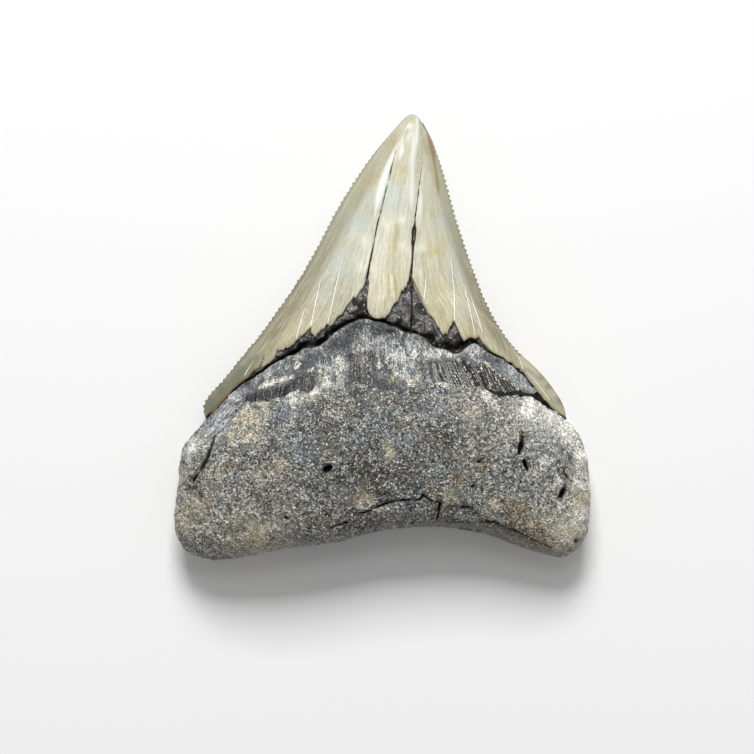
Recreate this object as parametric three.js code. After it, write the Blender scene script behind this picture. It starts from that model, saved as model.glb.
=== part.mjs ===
// A fossil shark tooth lying on its flatter outer face: tip towards +Y, domed inner face up.
// One closed skin: crown and root grew together, so nothing is split off.
import * as THREE from "three";
import { mergeVertices } from "three/addons/utils/BufferGeometryUtils.js";

const { lerp, smoothstep } = THREE.MathUtils;

// Driving dimensions, in millimetres
const TOOTH_HEIGHT = 100; // from the tip to the ends of the root lobes
const TIP_RIDGE = 4.6; // height of the inner face just behind the tip
const NECK_RIDGE = 14; // height of the inner face where crown and root meet
const ROOT_BULGE = 21; // height of the inner face at the thickest part of the root
const FOOT_RIDGE = 17.5; // height of the inner face above the foot of the root
const TIP_RIM = 2.6; // height of the cutting edge at the tip
const CORNER_RIM = 5; // height of the cutting edge at the two crown corners
const FOOT_RIM = 8.5; // height of the outline around the root
const TIP_ROUNDING = 4; // length over which the tip gains its thickness
const FOOT_ROUNDING = 8; // length over which the foot gains its thickness
const BASIN_DEPTH = 1.2; // hollow in the middle of the root's outer face

// Shares of the half-width
const FLAT_SHARE = 0.55; // the crown's outer face is flat out to here, then bevels up
const LOBE_ROUNDING = 0.22; // band at each side over which the root's outer face rolls up
const BASIN_SHARE = 0.5; // half the breadth of the hollow

// Section shapes (1 - s^fullness)^steepness, with s from 0 on the midline to 1 on the rim
const CROWN_FULLNESS = 2;
const CROWN_STEEPNESS = 1.25;
const ROOT_FULLNESS = 3.2;
const ROOT_STEEPNESS = 0.62;
const BEVEL_POWER = 1.6;

// Mesh density: columns crowd towards the two sides, rows towards the foot and the tip
const COLUMNS = 40;
const ROOT_ROWS = 15;
const CROWN_ROWS = 24;
const SIDE_CROWDING = 0.8;
const ROW_CROWDING = 1.5;

// The outline as smooth curves, in hundredths of the tooth height
const LEFT_CORNER = [-39.7, -18.9];
const RIGHT_CORNER = [41.3, -18.8];
const LEFT_FOOT = [-37.6, -50];
const RIGHT_FOOT = [38.9, -49.7];
const LEFT_SHOULDER = [4.1, 48.3];
const RIGHT_SHOULDER = [8.8, 48.1];

const rootLeft = curve([
  LEFT_FOOT, [-42.6, -49], [-45.9, -46.1], [-46.7, -42.3],
  [-45.9, -34], [-45.1, -27.2], [-43.5, -23.3], LEFT_CORNER,
]);
const rootRight = curve([
  RIGHT_FOOT, [43.7, -47.3], [46.4, -40.9], [46.7, -37.1],
  [46.2, -30.6], [45.6, -25.9], [44.4, -22.7], RIGHT_CORNER,
]);
const crownLeft = curve([
  LEFT_CORNER, [-40.5, -16.6], [-35.8, -9.5], [-26.8, 1.3],
  [-17.4, 15], [-8.9, 30.7], [-1.5, 41.7], LEFT_SHOULDER,
]);
const crownRight = curve([
  RIGHT_CORNER, [40.6, -16.3], [37.8, -12.2], [28.4, -1.4],
  [23.5, 6.7], [16.7, 25.5], [12.9, 39], [10.8, 44.8], RIGHT_SHOULDER,
]);
const tip = curve([LEFT_SHOULDER, [5.7, 49.7], [6.7, 50], [7.7, 49.6], RIGHT_SHOULDER]);
const foot = curve([
  LEFT_FOOT, [-25.3, -48.1], [-13.6, -46.3], [1.2, -43.6],
  [12.9, -43], [23.9, -44.9], [30.8, -47.5], RIGHT_FOOT,
]);

// Where crown and root meet: a wavy chevron on the inner face, a low arch on the outer face
const innerSeam = curve([
  LEFT_CORNER, [-33.4, -12.1], [-22.2, -4.4], [-10, 2.1], [-3.7, 4], [4.5, 1.5],
  [15.8, -3.1], [20.2, -1.1], [29.1, -6.6], [35.1, -12.6], RIGHT_CORNER,
]);
const outerSeam = curve([LEFT_CORNER, [-28, -13.5], [-12, -9.8], [16, -10.2], [30, -14], RIGHT_CORNER]);

/** Smooth curve through [x, y] points given in hundredths of the tooth height. */
function curve(points) {
  const unit = TOOTH_HEIGHT / 100;
  const knots = points.map(([x, y]) => new THREE.Vector3(x * unit, y * unit, 0));
  return new THREE.CatmullRomCurve3(knots, false, "centripetal");
}

/** Point at u across and t along (both 0 to 1) of the patch that fills four joined curves. */
function patchPoint(patch, u, t) {
  const low = patch.low.getPointAt(u);
  const high = patch.high.getPointAt(u);
  const left = patch.left.getPointAt(t);
  const right = patch.right.getPointAt(t);
  const along = low.lerp(high, t);
  const across = left.lerp(right, u);
  const lowCorners = patch.low.getPointAt(0).lerp(patch.low.getPointAt(1), u);
  const highCorners = patch.high.getPointAt(0).lerp(patch.high.getPointAt(1), u);
  return along.add(across).sub(lowCorners.lerp(highCorners, t));
}

/** Quarter-round rise from 0 to 1 over the given length. */
function quarterRound(distance, length) {
  const left = 1 - Math.min(distance / length, 1);
  return Math.sqrt(1 - left * left);
}

/** How far the root has swollen: 0 at the crown, 1 from its bulge down. */
function swelling(t) {
  return smoothstep(1 - t, 0, 0.45);
}

/** Height of the rim of the crown at t, from the corners (0) to the tip (1). */
function crownRim(t) {
  return lerp(TIP_RIM, CORNER_RIM, (1 - t) ** 2);
}

/** Height of the rim of the root at t, from the foot (0) to the corners (1). */
function rootRim(t) {
  return lerp(FOOT_RIM, CORNER_RIM, smoothstep(t, 0.5, 1));
}

/** Bevel of the crown's outer face: 0 over the flat middle, 1 at the cutting edge. */
function crownBevel(s) {
  return Math.max(0, (s - FLAT_SHARE) / (1 - FLAT_SHARE)) ** BEVEL_POWER;
}

/** Lens section of the crown, highest on its midline, thinning to the tip. */
function crownInner(s, t, length) {
  const rim = crownRim(t);
  const ridge = lerp(NECK_RIDGE, TIP_RIDGE, t);
  const section = (1 - s ** CROWN_FULLNESS) ** CROWN_STEEPNESS;
  return rim + (ridge - rim) * section * quarterRound((1 - t) * length, TIP_ROUNDING);
}

/** Flat outer face of the crown, bevelled up to the cutting edges and the tip. */
function crownOuter(s, t, length) {
  const flat = (1 - crownBevel(s)) * quarterRound((1 - t) * length, TIP_ROUNDING);
  return crownRim(t) * (1 - flat);
}

/** Domed inner face of the root, changing from the crown's section to a blocky one. */
function rootInner(s, t, length) {
  const rim = rootRim(t);
  const swell = swelling(t);
  const sag = (ROOT_BULGE - FOOT_RIDGE) * smoothstep(1 - t, 0.5, 1);
  const ridge = lerp(NECK_RIDGE, ROOT_BULGE, swell) - sag;
  const fullness = lerp(CROWN_FULLNESS, ROOT_FULLNESS, swell);
  const steepness = lerp(CROWN_STEEPNESS, ROOT_STEEPNESS, swell);
  const section = (1 - s ** fullness) ** steepness;
  return rim + (ridge - rim) * section * quarterRound(t * length, FOOT_ROUNDING);
}

/** Outer face of the root: flat lobes with rolled sides and a shallow basin between them. */
function rootOuter(s, t, length) {
  const roll = 1 - quarterRound(1 - s, LOBE_ROUNDING);
  const bevel = lerp(crownBevel(s), roll, swelling(t));
  const flat = (1 - bevel) * quarterRound(t * length, FOOT_ROUNDING);
  const hollow = Math.max(0, 1 - (s / BASIN_SHARE) ** 2) ** 2;
  return rootRim(t) * (1 - flat) + BASIN_DEPTH * hollow * 4 * t * (1 - t);
}

/** Place across the patch of an evenly counted column, closer together near both sides. */
function crowdSides(x) {
  return x - SIDE_CROWDING * Math.sin(2 * Math.PI * x) / (2 * Math.PI);
}

/** Place along the root of an evenly counted row, closer together near the foot. */
function crowdFoot(x) {
  return x ** ROW_CROWDING;
}

/** Place along the crown of an evenly counted row, closer together near the tip. */
function crowdTip(x) {
  return 1 - (1 - x) ** ROW_CROWDING;
}

/** Adds one patch to the mesh as a grid of triangles, facing up or down. */
function addPatch(mesh, patch, rows, facesUp) {
  const first = mesh.positions.length / 3;
  for (let row = 0; row <= rows; row++) {
    for (let column = 0; column <= COLUMNS; column++) {
      const u = crowdSides(column / COLUMNS);
      const t = patch.crowd(row / rows);
      const point = patchPoint(patch, u, t);
      const length = patch.low.getPointAt(u).distanceTo(patch.high.getPointAt(u));
      mesh.positions.push(point.x, point.y, patch.height(Math.abs(2 * u - 1), t, length));
    }
  }
  for (let row = 0; row < rows; row++) {
    for (let column = 0; column < COLUMNS; column++) {
      const a = first + row * (COLUMNS + 1) + column;
      const b = a + 1;
      const d = a + COLUMNS + 1;
      const c = d + 1;
      const quad = facesUp ? [a, b, c, a, c, d] : [a, c, b, a, d, c];
      mesh.indices.push(...quad);
    }
  }
}

// The four patches share their outer curves, so the two faces close along the rim
const rootSides = { left: rootLeft, right: rootRight, low: foot, crowd: crowdFoot };
const crownSides = { left: crownLeft, right: crownRight, high: tip, crowd: crowdTip };
const skin = { positions: [], indices: [] };
addPatch(skin, { ...rootSides, high: innerSeam, height: rootInner }, ROOT_ROWS, true);
addPatch(skin, { ...crownSides, low: innerSeam, height: crownInner }, CROWN_ROWS, true);
addPatch(skin, { ...rootSides, high: outerSeam, height: rootOuter }, ROOT_ROWS, false);
addPatch(skin, { ...crownSides, low: outerSeam, height: crownOuter }, CROWN_ROWS, false);

const geometry = new THREE.BufferGeometry();
geometry.setAttribute("position", new THREE.Float32BufferAttribute(skin.positions, 3));
geometry.setIndex(skin.indices);
const closed = mergeVertices(geometry, 1e-4);
closed.computeVertexNormals();

const fossil = new THREE.MeshStandardMaterial({ color: 0xa5a191, roughness: 0.55, metalness: 0 });
const tooth = new THREE.Mesh(closed, fossil);
tooth.name = "tooth";

const group = new THREE.Group();
group.add(tooth);

export default group;
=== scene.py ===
# %% [markdown]
# # A fossil shark tooth, one skin from tip to root
# The tooth lies on its flat outer face with the tip towards +Y, so its domed inner face looks up.
# It grew as one piece. So it is not assembled from parts: it is one closed skin, worked out with
# numpy as two faces that share a rim, with every groove, crack and serration moved into the mesh.

import bpy
import numpy as np
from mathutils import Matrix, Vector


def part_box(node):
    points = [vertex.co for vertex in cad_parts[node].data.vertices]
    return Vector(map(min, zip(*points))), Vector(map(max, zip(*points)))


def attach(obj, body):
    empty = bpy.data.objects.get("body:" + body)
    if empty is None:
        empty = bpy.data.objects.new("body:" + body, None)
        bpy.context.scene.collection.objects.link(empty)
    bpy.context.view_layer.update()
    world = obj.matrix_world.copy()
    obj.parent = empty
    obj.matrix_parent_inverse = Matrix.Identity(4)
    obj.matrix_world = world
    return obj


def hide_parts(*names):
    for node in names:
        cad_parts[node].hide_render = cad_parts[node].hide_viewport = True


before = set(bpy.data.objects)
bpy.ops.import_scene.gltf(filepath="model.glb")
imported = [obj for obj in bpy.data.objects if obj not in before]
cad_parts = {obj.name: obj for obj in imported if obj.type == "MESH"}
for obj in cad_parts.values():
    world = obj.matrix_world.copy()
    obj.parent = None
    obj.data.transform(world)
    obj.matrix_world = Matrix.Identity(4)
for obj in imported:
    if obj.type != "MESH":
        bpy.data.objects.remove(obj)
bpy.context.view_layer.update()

low_corner, high_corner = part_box("tooth")
TOOTH_LENGTH = 100
MM = (high_corner[1] - low_corner[1]) / TOOTH_LENGTH
print(f"packed tooth: {(high_corner - low_corner)[:]} m, so a hundredth of its length is {MM:.5f} m")

# %% [markdown]
# ## The outline
# A tooth has a few long, calm edges: two cutting edges, two root sides, the foot and the tip.
# They could be drawn as Blender curves, but the surface needs them as numbers. So each edge is a
# short list of points in hundredths of the tooth's length (1 mm here), made smooth by a cubic
# between neighbours and then walked evenly by length.

# %% Smooth curves through points
CURVE_POINTS = 1200


def trace(points):
    """A smooth curve through points: the share of its length walked, and dense points on it.

    Between two points runs a cubic. Its slopes there are centred differences over the chords.
    """
    knots = np.array(points, float)
    chord = np.hypot(*np.diff(knots, axis=0).T)
    reach = np.append(0, np.cumsum(chord))
    slope = np.gradient(knots, reach, axis=0)
    walk = np.linspace(0, reach[-1], CURVE_POINTS)
    span = np.clip(np.searchsorted(reach, walk, "right") - 1, 0, len(chord) - 1)
    x = ((walk - reach[span]) / chord[span])[:, None]
    h = chord[span][:, None]
    leaving = (1 + 2 * x) * (1 - x) ** 2 * knots[span] + x * (1 - x) ** 2 * h * slope[span]
    arriving = x**2 * (3 - 2 * x) * knots[span + 1] + x**2 * (x - 1) * h * slope[span + 1]
    dense = leaving + arriving
    walked = np.append(0, np.cumsum(np.hypot(*np.diff(dense, axis=0).T)))
    return walked / walked[-1], dense


def along(line, share):
    """Points of a traced curve at the given shares of its length."""
    walked, dense = line
    return np.stack([np.interp(share, walked, dense[:, k]) for k in (0, 1)], axis=-1)


print("a traced curve has", CURVE_POINTS, "points")

# %% The edges of the outline
LEFT_CORNER, RIGHT_CORNER = (-39.7, -18.9), (41.3, -18.8)
LEFT_FOOT, RIGHT_FOOT = (-37.6, -50.0), (38.9, -49.7)
LEFT_SHOULDER, RIGHT_SHOULDER = (4.1, 48.3), (9.1, 48.0)

root_left = trace([
    LEFT_FOOT, (-42.6, -49.0), (-45.9, -46.1), (-46.7, -42.3),
    (-45.9, -34.0), (-45.1, -27.2), (-43.5, -23.3), LEFT_CORNER,
])
root_right = trace([
    RIGHT_FOOT, (41.6, -49.0), (43.7, -47.3), (45.5, -44.4), (46.4, -40.9),
    (46.7, -37.1), (46.2, -30.6), (45.6, -25.9), (44.4, -22.7), RIGHT_CORNER,
])
crown_left = trace([
    LEFT_CORNER, (-40.3, -16.8), (-35.4, -9.7), (-26.8, 1.1),
    (-17.4, 15.0), (-8.9, 30.7), (-1.5, 41.7), LEFT_SHOULDER,
])
crown_right = trace([
    RIGHT_CORNER, (40.8, -16.3), (38.3, -11.9), (35.5, -8.4), (32.4, -5.4), (30.3, -3.6), (28.4, -1.4),
    (23.5, 6.7), (20.3, 14.8), (16.7, 25.5), (12.9, 39.0), (10.8, 44.8), RIGHT_SHOULDER,
])
# The tip ends on its right in a small chip
tip = trace([
    LEFT_SHOULDER, (5.7, 49.7), (6.7, 50.0), (7.6, 49.6), (8.5, 48.6), (8.6, 48.1), RIGHT_SHOULDER,
])
foot = trace([
    LEFT_FOOT, (-31.4, -49.3), (-25.3, -48.1), (-13.6, -46.3), (-6.2, -45.1), (1.2, -43.6), (6.1, -43.1),
    (12.9, -43.0), (18.2, -43.7), (23.9, -44.9), (30.8, -47.5), (35.3, -48.9), RIGHT_FOOT,
])
print("outline curves:", len((root_left, root_right, crown_left, crown_right, tip, foot)))

# %% [markdown]
# ## Lines that cross the inner face
# Three lines cut the inner face into zones: the foot of the dark neck band, the crevice above it,
# and the ragged lower edge of the enamel, which has broken away and bares dark dentine. Painting
# these borders on a finished shape would leave them soft. So the grid's rows will run along them,
# and each border is a real edge in the mesh.

# %% The neck's foot, the crevice and the enamel's edge
NECK_FOOT = [
    (-39.7, -19.0), (-37.9, -17.8), (-34.3, -14.6), (-32.0, -14.2), (-29.9, -14.8), (-26.0, -14.6),
    (-23.1, -13.6), (-18.2, -12.0), (-13.3, -11.2), (-7.8, -11.3), (-1.0, -12.0), (5.2, -12.0),
    (9.5, -11.8), (13.0, -11.4), (16.9, -11.0), (20.0, -11.4), (24.0, -12.4), (26.4, -13.8),
    (27.6, -13.2), (29.8, -12.9), (34.1, -13.7), (37.7, -16.6), (41.2, -18.9),
]
CREVICE = [
    LEFT_CORNER, (-37.0, -16.3), (-33.4, -12.6), (-30.2, -10.0), (-27.2, -8.2), (-25.0, -6.8),
    (-22.2, -5.0), (-20.0, -3.9), (-17.3, -2.5), (-15.0, -2.1), (-13.4, -1.6), (-11.8, -0.2),
    (-10.0, 1.3), (-8.0, 2.4), (-5.5, 3.5), (-3.7, 3.8), (-1.5, 3.2), (1.0, 2.7), (4.0, 1.3), (7.0, 0.4),
    (9.8, -0.6), (11.3, -2.0), (13.5, -3.0), (16.5, -3.6), (18.2, -2.3), (20.2, -1.6), (22.0, -2.4),
    (24.0, -3.9), (26.5, -5.2), (29.5, -7.0), (31.7, -9.1), (35.0, -13.2), (38.4, -16.9), RIGHT_CORNER,
]
ENAMEL_EDGE = [
    (-39.8, -18.2), (-35.3, -14.1), (-32.2, -10.8), (-30.3, -9.5), (-28.7, -7.6), (-27.5, -7.3),
    (-25.5, -6.2), (-24.3, -5.1), (-23.6, -3.6), (-22.0, -3.0), (-20.6, -2.5), (-19.4, -1.2),
    (-16.9, 0.8), (-16.0, 2.1), (-15.8, 0.2), (-15.1, -0.1), (-13.9, 1.2), (-12.2, 2.9), (-11.9, 2.1),
    (-11.0, 2.5), (-10.2, 4.2), (-9.0, 4.8), (-8.2, 6.2), (-7.0, 8.2), (-5.9, 8.6), (-5.1, 10.0),
    (-4.2, 10.8), (-3.6, 13.4), (-3.0, 11.5), (-3.5, 8.0), (-3.3, 5.0), (-2.6, 4.2), (-0.9, 3.7),
    (0.6, 3.9), (1.7, 5.0), (2.3, 6.7), (3.1, 7.3), (4.2, 9.8), (5.3, 10.8), (6.2, 14.3), (6.9, 12.4),
    (7.6, 11.0), (8.4, 9.2), (9.2, 7.1), (10.1, 5.2), (11.2, 3.9), (12.2, 2.1), (13.1, 0.4), (13.9, 0.0),
    (14.8, 1.5), (15.8, 3.4), (16.4, 2.0), (17.3, -0.3), (18.3, -1.2), (19.1, -0.5), (20.6, -0.7),
    (21.5, -0.4), (22.0, -1.1), (23.6, -2.9), (26.5, -4.7), (30.6, -7.4), (32.0, -8.7), (35.0, -12.7),
    (38.6, -16.6), (41.2, -18.3),
]
print("points on the enamel's edge:", len(ENAMEL_EDGE))

# %% Roughen the crevice, and draw the outer face's border
BUMPS, BUMP_HEIGHT = 80, 0.2
crevice_line = trace(CREVICE)
# A small random rise or dip about every millimetre, none at the corners
bumps = np.random.default_rng(6).normal(0, BUMP_HEIGHT, BUMPS)
bumps[[0, -1]] = 0
crevice_line[1][:, 1] += np.interp(crevice_line[0], np.linspace(0, 1, BUMPS), bumps)
# On the outer face the enamel simply ends in a low arch
outer_seam = trace([
    LEFT_CORNER, (-28.0, -13.5), (-12.0, -9.8), (16.0, -10.2), (30.0, -14.0), RIGHT_CORNER,
])
print(f"bumps of the crevice: {bumps.min():.2f} to {bumps.max():.2f} mm")

# %% [markdown]
# ## Patches between four curves
# Four joined curves can be filled by a Coons patch: blend the two sides, blend the two ends, and
# take off the blend of the corners that was counted twice. Its columns fan out from the tip as the
# growth streaks of the real enamel do. Newton's method turns it round: given a place on the tooth,
# it finds how far across and along the patch that is.

# %% Fill a patch, and find a place on it
def fill(patch, u, t):
    """Coons patch: sides blended across, plus ends blended along, minus the blended corners."""
    left, right, low, high = patch
    across, up = u[..., None], t[..., None]
    sides = (1 - across) * along(left, t) + across * along(right, t)
    ends = (1 - up) * along(low, u) + up * along(high, u)
    low_corners = (1 - across) * low[1][0] + across * low[1][-1]
    high_corners = (1 - across) * high[1][0] + across * high[1][-1]
    return sides + ends - (1 - up) * low_corners - up * high_corners


def locate(points, patch, steps=25, nudge=1e-3, last=0.999):
    """Shares across and along a patch at which it passes through points, by Newton's method."""
    goal = np.array(points, float)
    # The search starts low in the middle of the patch and stays short of its far ends
    u = np.full(len(goal), 0.5)
    t = np.full(len(goal), 0.2)
    for _ in range(steps):
        here = fill(patch, u, t)
        du = (fill(patch, u + nudge, t) - here) / nudge
        dt = (fill(patch, u, t + nudge) - here) / nudge
        miss = goal - here
        area = du[:, 0] * dt[:, 1] - du[:, 1] * dt[:, 0]
        u = np.clip(u + (miss[:, 0] * dt[:, 1] - miss[:, 1] * dt[:, 0]) / area, 0, last)
        t = np.clip(t + (du[:, 0] * miss[:, 1] - du[:, 1] * miss[:, 0]) / area, 0, last)
    return u, t


inner_root = (root_left, root_right, foot, crevice_line)
inner_crown = (crown_left, crown_right, crevice_line, tip)
outer_root = (root_left, root_right, foot, outer_seam)
outer_crown = (crown_left, crown_right, outer_seam, tip)

neck_u, neck_t = locate(NECK_FOOT, inner_root)
edge_u, edge_t = locate(ENAMEL_EDGE, inner_crown)
strayed = np.hypot(*(fill(inner_crown, edge_u, edge_t) - ENAMEL_EDGE).T).max()
print(f"enamel edge found on the crown patch to {strayed:.2f} mm")

# %% [markdown]
# ## Rows and columns
# Rows: the root, the neck band, the bared dentine and the crown each get a share, and rows crowd
# where the shape turns fast. The crown has two rows for every serration, one out and one in.
# Columns: two long cracks split the crown, and a crack crossing the grid at a slant would look
# like a staircase. So the columns are steered to run along both cracks.

# %% Steer the columns along the two long cracks
COLUMNS = 264
LEFT_CRACK = [
    (3.0, 41.7), (2.1, 38.3), (0.3, 30.9), (-1.1, 25.5), (-2.1, 20.1), (-3.1, 15.1), (-3.6, 12.5),
]
RIGHT_CRACK = [
    (9.4, 42.1), (9.2, 40.0), (8.5, 36.0), (8.0, 31.6), (7.3, 26.6), (7.0, 21.9), (6.7, 16.5), (6.3, 13.4),
]


def crack_columns(route):
    """Where a crack lies on the crown patch, from its lower end up, starting on a whole column."""
    u, t = locate(route[::-1], inner_crown)
    u[0] = np.round(u[0] * COLUMNS) / COLUMNS
    return u, t


left_u, left_t = crack_columns(LEFT_CRACK)
right_u, right_t = crack_columns(RIGHT_CRACK)


def steer(column, t):
    """Place across the crown: straight shares of the three panels that the two cracks leave."""
    left, right = np.interp(t, left_t, left_u), np.interp(t, right_t, right_u)
    first, second = left_u[0], right_u[0]
    left_panel = column / first * left
    middle_panel = left + (column - first) / (second - first) * (right - left)
    right_panel = right + (column - second) / (1 - second) * (1 - right)
    return np.where(column < first, left_panel, np.where(column < second, middle_panel, right_panel))


print(f"cracks start at {left_u[0]:.3f} and {right_u[0]:.3f} of the way across")

# %% Share out the rows
SERRATIONS = 64
ROOT_ROWS, NECK_ROWS, DENTINE_ROWS, CROWN_ROWS = 72, 30, 14, 2 * SERRATIONS
NECK_ROW = ROOT_ROWS
CREVICE_ROW = NECK_ROW + NECK_ROWS
ENAMEL_ROW = CREVICE_ROW + DENTINE_ROWS
# Above 1, rows crowd at the foot or below the crevice
FOOT_CROWDING, CREVICE_CROWDING = 1.2, 1.5


def even(rows):
    """Evenly spread shares from 0 to 1, one for each row line, as a column."""
    return np.linspace(0, 1, rows + 1)[:, None]


def root_shares(neck):
    """Shares along the root: crowded at the foot, then from the neck's foot up to the crevice."""
    below = even(ROOT_ROWS) ** FOOT_CROWDING * neck
    above = neck + (1 - neck) * (1 - (1 - even(NECK_ROWS)[1:]) ** CREVICE_CROWDING)
    return np.concatenate([below, above])


def crown_shares(edge):
    """Shares along the crown: the dentine, crowded at both borders, then evenly to the tip."""
    dentine = (1 - np.cos(np.pi * even(DENTINE_ROWS)[1:])) / 2 * edge
    return np.concatenate([dentine, edge + (1 - edge) * even(CROWN_ROWS)[1:]])


print("rows:", ROOT_ROWS + NECK_ROWS + DENTINE_ROWS + CROWN_ROWS)

# %% Lay the two grids
RAGGED_FROM, RAGGED_MOST = 0.02, 0.004


def lay(root_patch, crown_patch, column, neck, edge, steering):
    """Plane points of one face, with their shares across and along the root and the crown."""
    root_t, crown_t = root_shares(neck), crown_shares(edge)
    root_u = np.broadcast_to(column, root_t.shape)
    crown_u = steering(column, crown_t)
    plane = np.concatenate([fill(root_patch, root_u, root_t), fill(crown_patch, crown_u, crown_t)])
    return plane, np.concatenate([root_u, crown_u]), root_t, crown_t


inner_column = np.linspace(0, 1, COLUMNS + 1)
inner_neck = np.interp(inner_column, np.maximum.accumulate(neck_u), neck_t)
inner_edge = np.interp(inner_column, np.maximum.accumulate(edge_u), edge_t)
# The broken edge is a little ragged from column to column
ragged = np.random.default_rng(5).normal(0, 1, COLUMNS + 1)
inner_edge += np.clip(inner_edge - RAGGED_FROM, 0, RAGGED_MOST) * ragged
inner_xy, inner_u, inner_root_t, inner_crown_t = lay(
    inner_root, inner_crown, inner_column, inner_neck, inner_edge, steer)

# The outer face has every second column, and meets the inner face along the rim
outer_column = inner_column[::2]
outer_neck = np.interp(outer_column, (0, 1), inner_neck[[0, -1]])
outer_edge = np.interp(outer_column, (0, 1), inner_edge[[0, -1]])
outer_xy, outer_u, outer_root_t, outer_crown_t = lay(
    outer_root, outer_crown, outer_column, outer_neck, outer_edge, lambda column, t: column + 0 * t)
print("inner grid", inner_xy.shape[:2], "outer grid", outer_xy.shape[:2])

# %% [markdown]
# ## The plain shape of both faces
# The inner face is a lens across the crown and a blocky dome across the root; the outer face is
# flat, so the tooth can lie on it. Both are heights over the plane, with the same thicknesses as
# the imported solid.

# %% Thicknesses, and curves to shape them
TIP_RIDGE, NECK_RIDGE, ROOT_BULGE, FOOT_RIDGE = 4.6, 14.0, 21.0, 17.5
TIP_RIM, CORNER_RIM, FOOT_RIM = 2.6, 5.0, 8.5
TIP_ROUNDING, FOOT_ROUNDING = 4.0, 8.0
SWELL_SHARE = 0.45
# Fullness and steepness of the inner section, on the crown and on the swollen root
CROWN_SECTION, ROOT_SECTION = (2, 1.25), (3.2, 0.62)
# The outer face: where its bevel starts and how it curves, the roll of its sides, and its basin
BEVEL_FROM, BEVEL_CURVE, SIDE_ROLL = 0.55, 1.6, 0.22
BASIN_HALF, BASIN_DEPTH = 0.5, 1.2


def ease(x, start, end):
    """Smooth step: 0 before start, 1 after end, level at both."""
    x = np.clip((x - start) / (end - start), 0, 1)
    return x * x * (3 - 2 * x)


def quarter_round(distance, length):
    """Quarter circle that rises from 0 to 1 over the given length."""
    return np.sqrt(1 - (1 - np.clip(distance / length, 0, 1)) ** 2)


def mix(first, second, share):
    """Straight blend of two values."""
    return first + (second - first) * share


def column_lengths(patch, column):
    """Length of each column of a patch, from its low to its high curve."""
    return np.hypot(*(along(patch[3], column) - along(patch[2], column)).T)


def rim_height(root_t, crown_t):
    """Height of the rim, row by row: high round the root, low at the cutting edges."""
    root = mix(FOOT_RIM, CORNER_RIM, ease(root_t, 0.5, 1))
    return np.concatenate([root, mix(TIP_RIM, CORNER_RIM, (1 - crown_t) ** 2)])


def swelling(root_t, crown_t):
    """0 on the crown and at the neck, rising to 1 over the thick part of the root."""
    return np.concatenate([ease(1 - root_t, 0, SWELL_SHARE), 0 * crown_t])


def rounded_ends(root_patch, crown_patch, root_t, crown_t, column):
    """1 over most of a face, with a quarter circle down to 0 at the foot and at the tip."""
    return np.concatenate([
        quarter_round(root_t * column_lengths(root_patch, column), FOOT_ROUNDING),
        quarter_round((1 - crown_t) * column_lengths(crown_patch, column), TIP_ROUNDING),
    ])


print("rim heights:", TIP_RIM, CORNER_RIM, FOOT_RIM, "mm")

# %% Heights of the two faces
def inner_height(u, root_t, crown_t, column):
    """Rim plus ridge height times a section (1 - s^fullness)^steepness, s being 1 at the rim."""
    swell = swelling(root_t, crown_t)
    root_ridge = mix(NECK_RIDGE, ROOT_BULGE, ease(1 - root_t, 0, SWELL_SHARE))
    root_ridge -= (ROOT_BULGE - FOOT_RIDGE) * ease(1 - root_t, 0.5, 1)
    ridge = np.concatenate([root_ridge, mix(NECK_RIDGE, TIP_RIDGE, crown_t)])
    ends = rounded_ends(inner_root, inner_crown, root_t, crown_t, column)
    side = np.abs(2 * u - 1)
    fullness, steepness = (mix(crown, root, swell) for crown, root in zip(CROWN_SECTION, ROOT_SECTION))
    section = (1 - side**fullness) ** steepness
    rim = rim_height(root_t, crown_t)
    return rim + (ridge - rim) * section * ends


def outer_height(u, root_t, crown_t, column):
    """Flat middle that bevels up to the cutting edges, rolled root sides and a shallow basin."""
    side = np.abs(2 * u - 1)
    bevel = np.clip((side - BEVEL_FROM) / (1 - BEVEL_FROM), 0, 1) ** BEVEL_CURVE
    roll = 1 - quarter_round(1 - side, SIDE_ROLL)
    ends = rounded_ends(outer_root, outer_crown, root_t, crown_t, column)
    basin = np.concatenate([4 * root_t * (1 - root_t), 0 * crown_t])
    basin *= np.clip(1 - (side / BASIN_HALF) ** 2, 0, 1) ** 2
    lifted = 1 - (1 - mix(bevel, roll, swelling(root_t, crown_t))) * ends
    return rim_height(root_t, crown_t) * lifted + BASIN_DEPTH * basin


inner_z = inner_height(inner_u, inner_root_t, inner_crown_t, inner_column)
outer_z = outer_height(outer_u, outer_root_t, outer_crown_t, outer_column)
print(f"inner face up to {inner_z.max():.1f} mm, outer face from {outer_z.min():.1f} mm")

# %% [markdown]
# ## Tools for relief
# Fine shape is a height added along the surface normal. It is built from two things: how far each
# grid point is from a drawn route, and smooth random lumps. The same distances are stored on
# the mesh later, so that the colours sit exactly where the grooves are.

# %% Distances to routes
def route_gap(plane, route):
    """Distance to a route of straight runs, less its half-width there: negative inside a crack."""
    knots = np.array(route, float)
    best = np.full(plane.shape[:-1], np.inf)
    for start, end in zip(knots[:-1], knots[1:]):
        run = (end - start)[:2]
        share = np.clip((plane - start[:2]) @ run / (run @ run), 0, 1)
        reach = np.linalg.norm(plane - start[:2] - share[..., None] * run, axis=-1)
        best = np.minimum(best, reach - mix(start[2], end[2], share))
    return best


def nearest(plane, routes):
    """Least gap to any of several routes."""
    return np.min([route_gap(plane, route) for route in routes], axis=0)


def widen(points, half_width):
    """A route of one half-width through plain points."""
    return [(x, y, half_width) for x, y in points]


RIM_SAMPLES = np.linspace(0, 1, 60)
cutting_edges = [widen(along(line, RIM_SAMPLES), 0) for line in (crown_left, crown_right, tip)]
root_edges = [widen(along(line, RIM_SAMPLES), 0) for line in (root_left, root_right, foot)]
inner_rim = nearest(inner_xy, cutting_edges + root_edges)
outer_rim = nearest(outer_xy, cutting_edges + root_edges)
print(f"furthest point from the rim: {inner_rim.max():.1f} mm")

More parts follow.
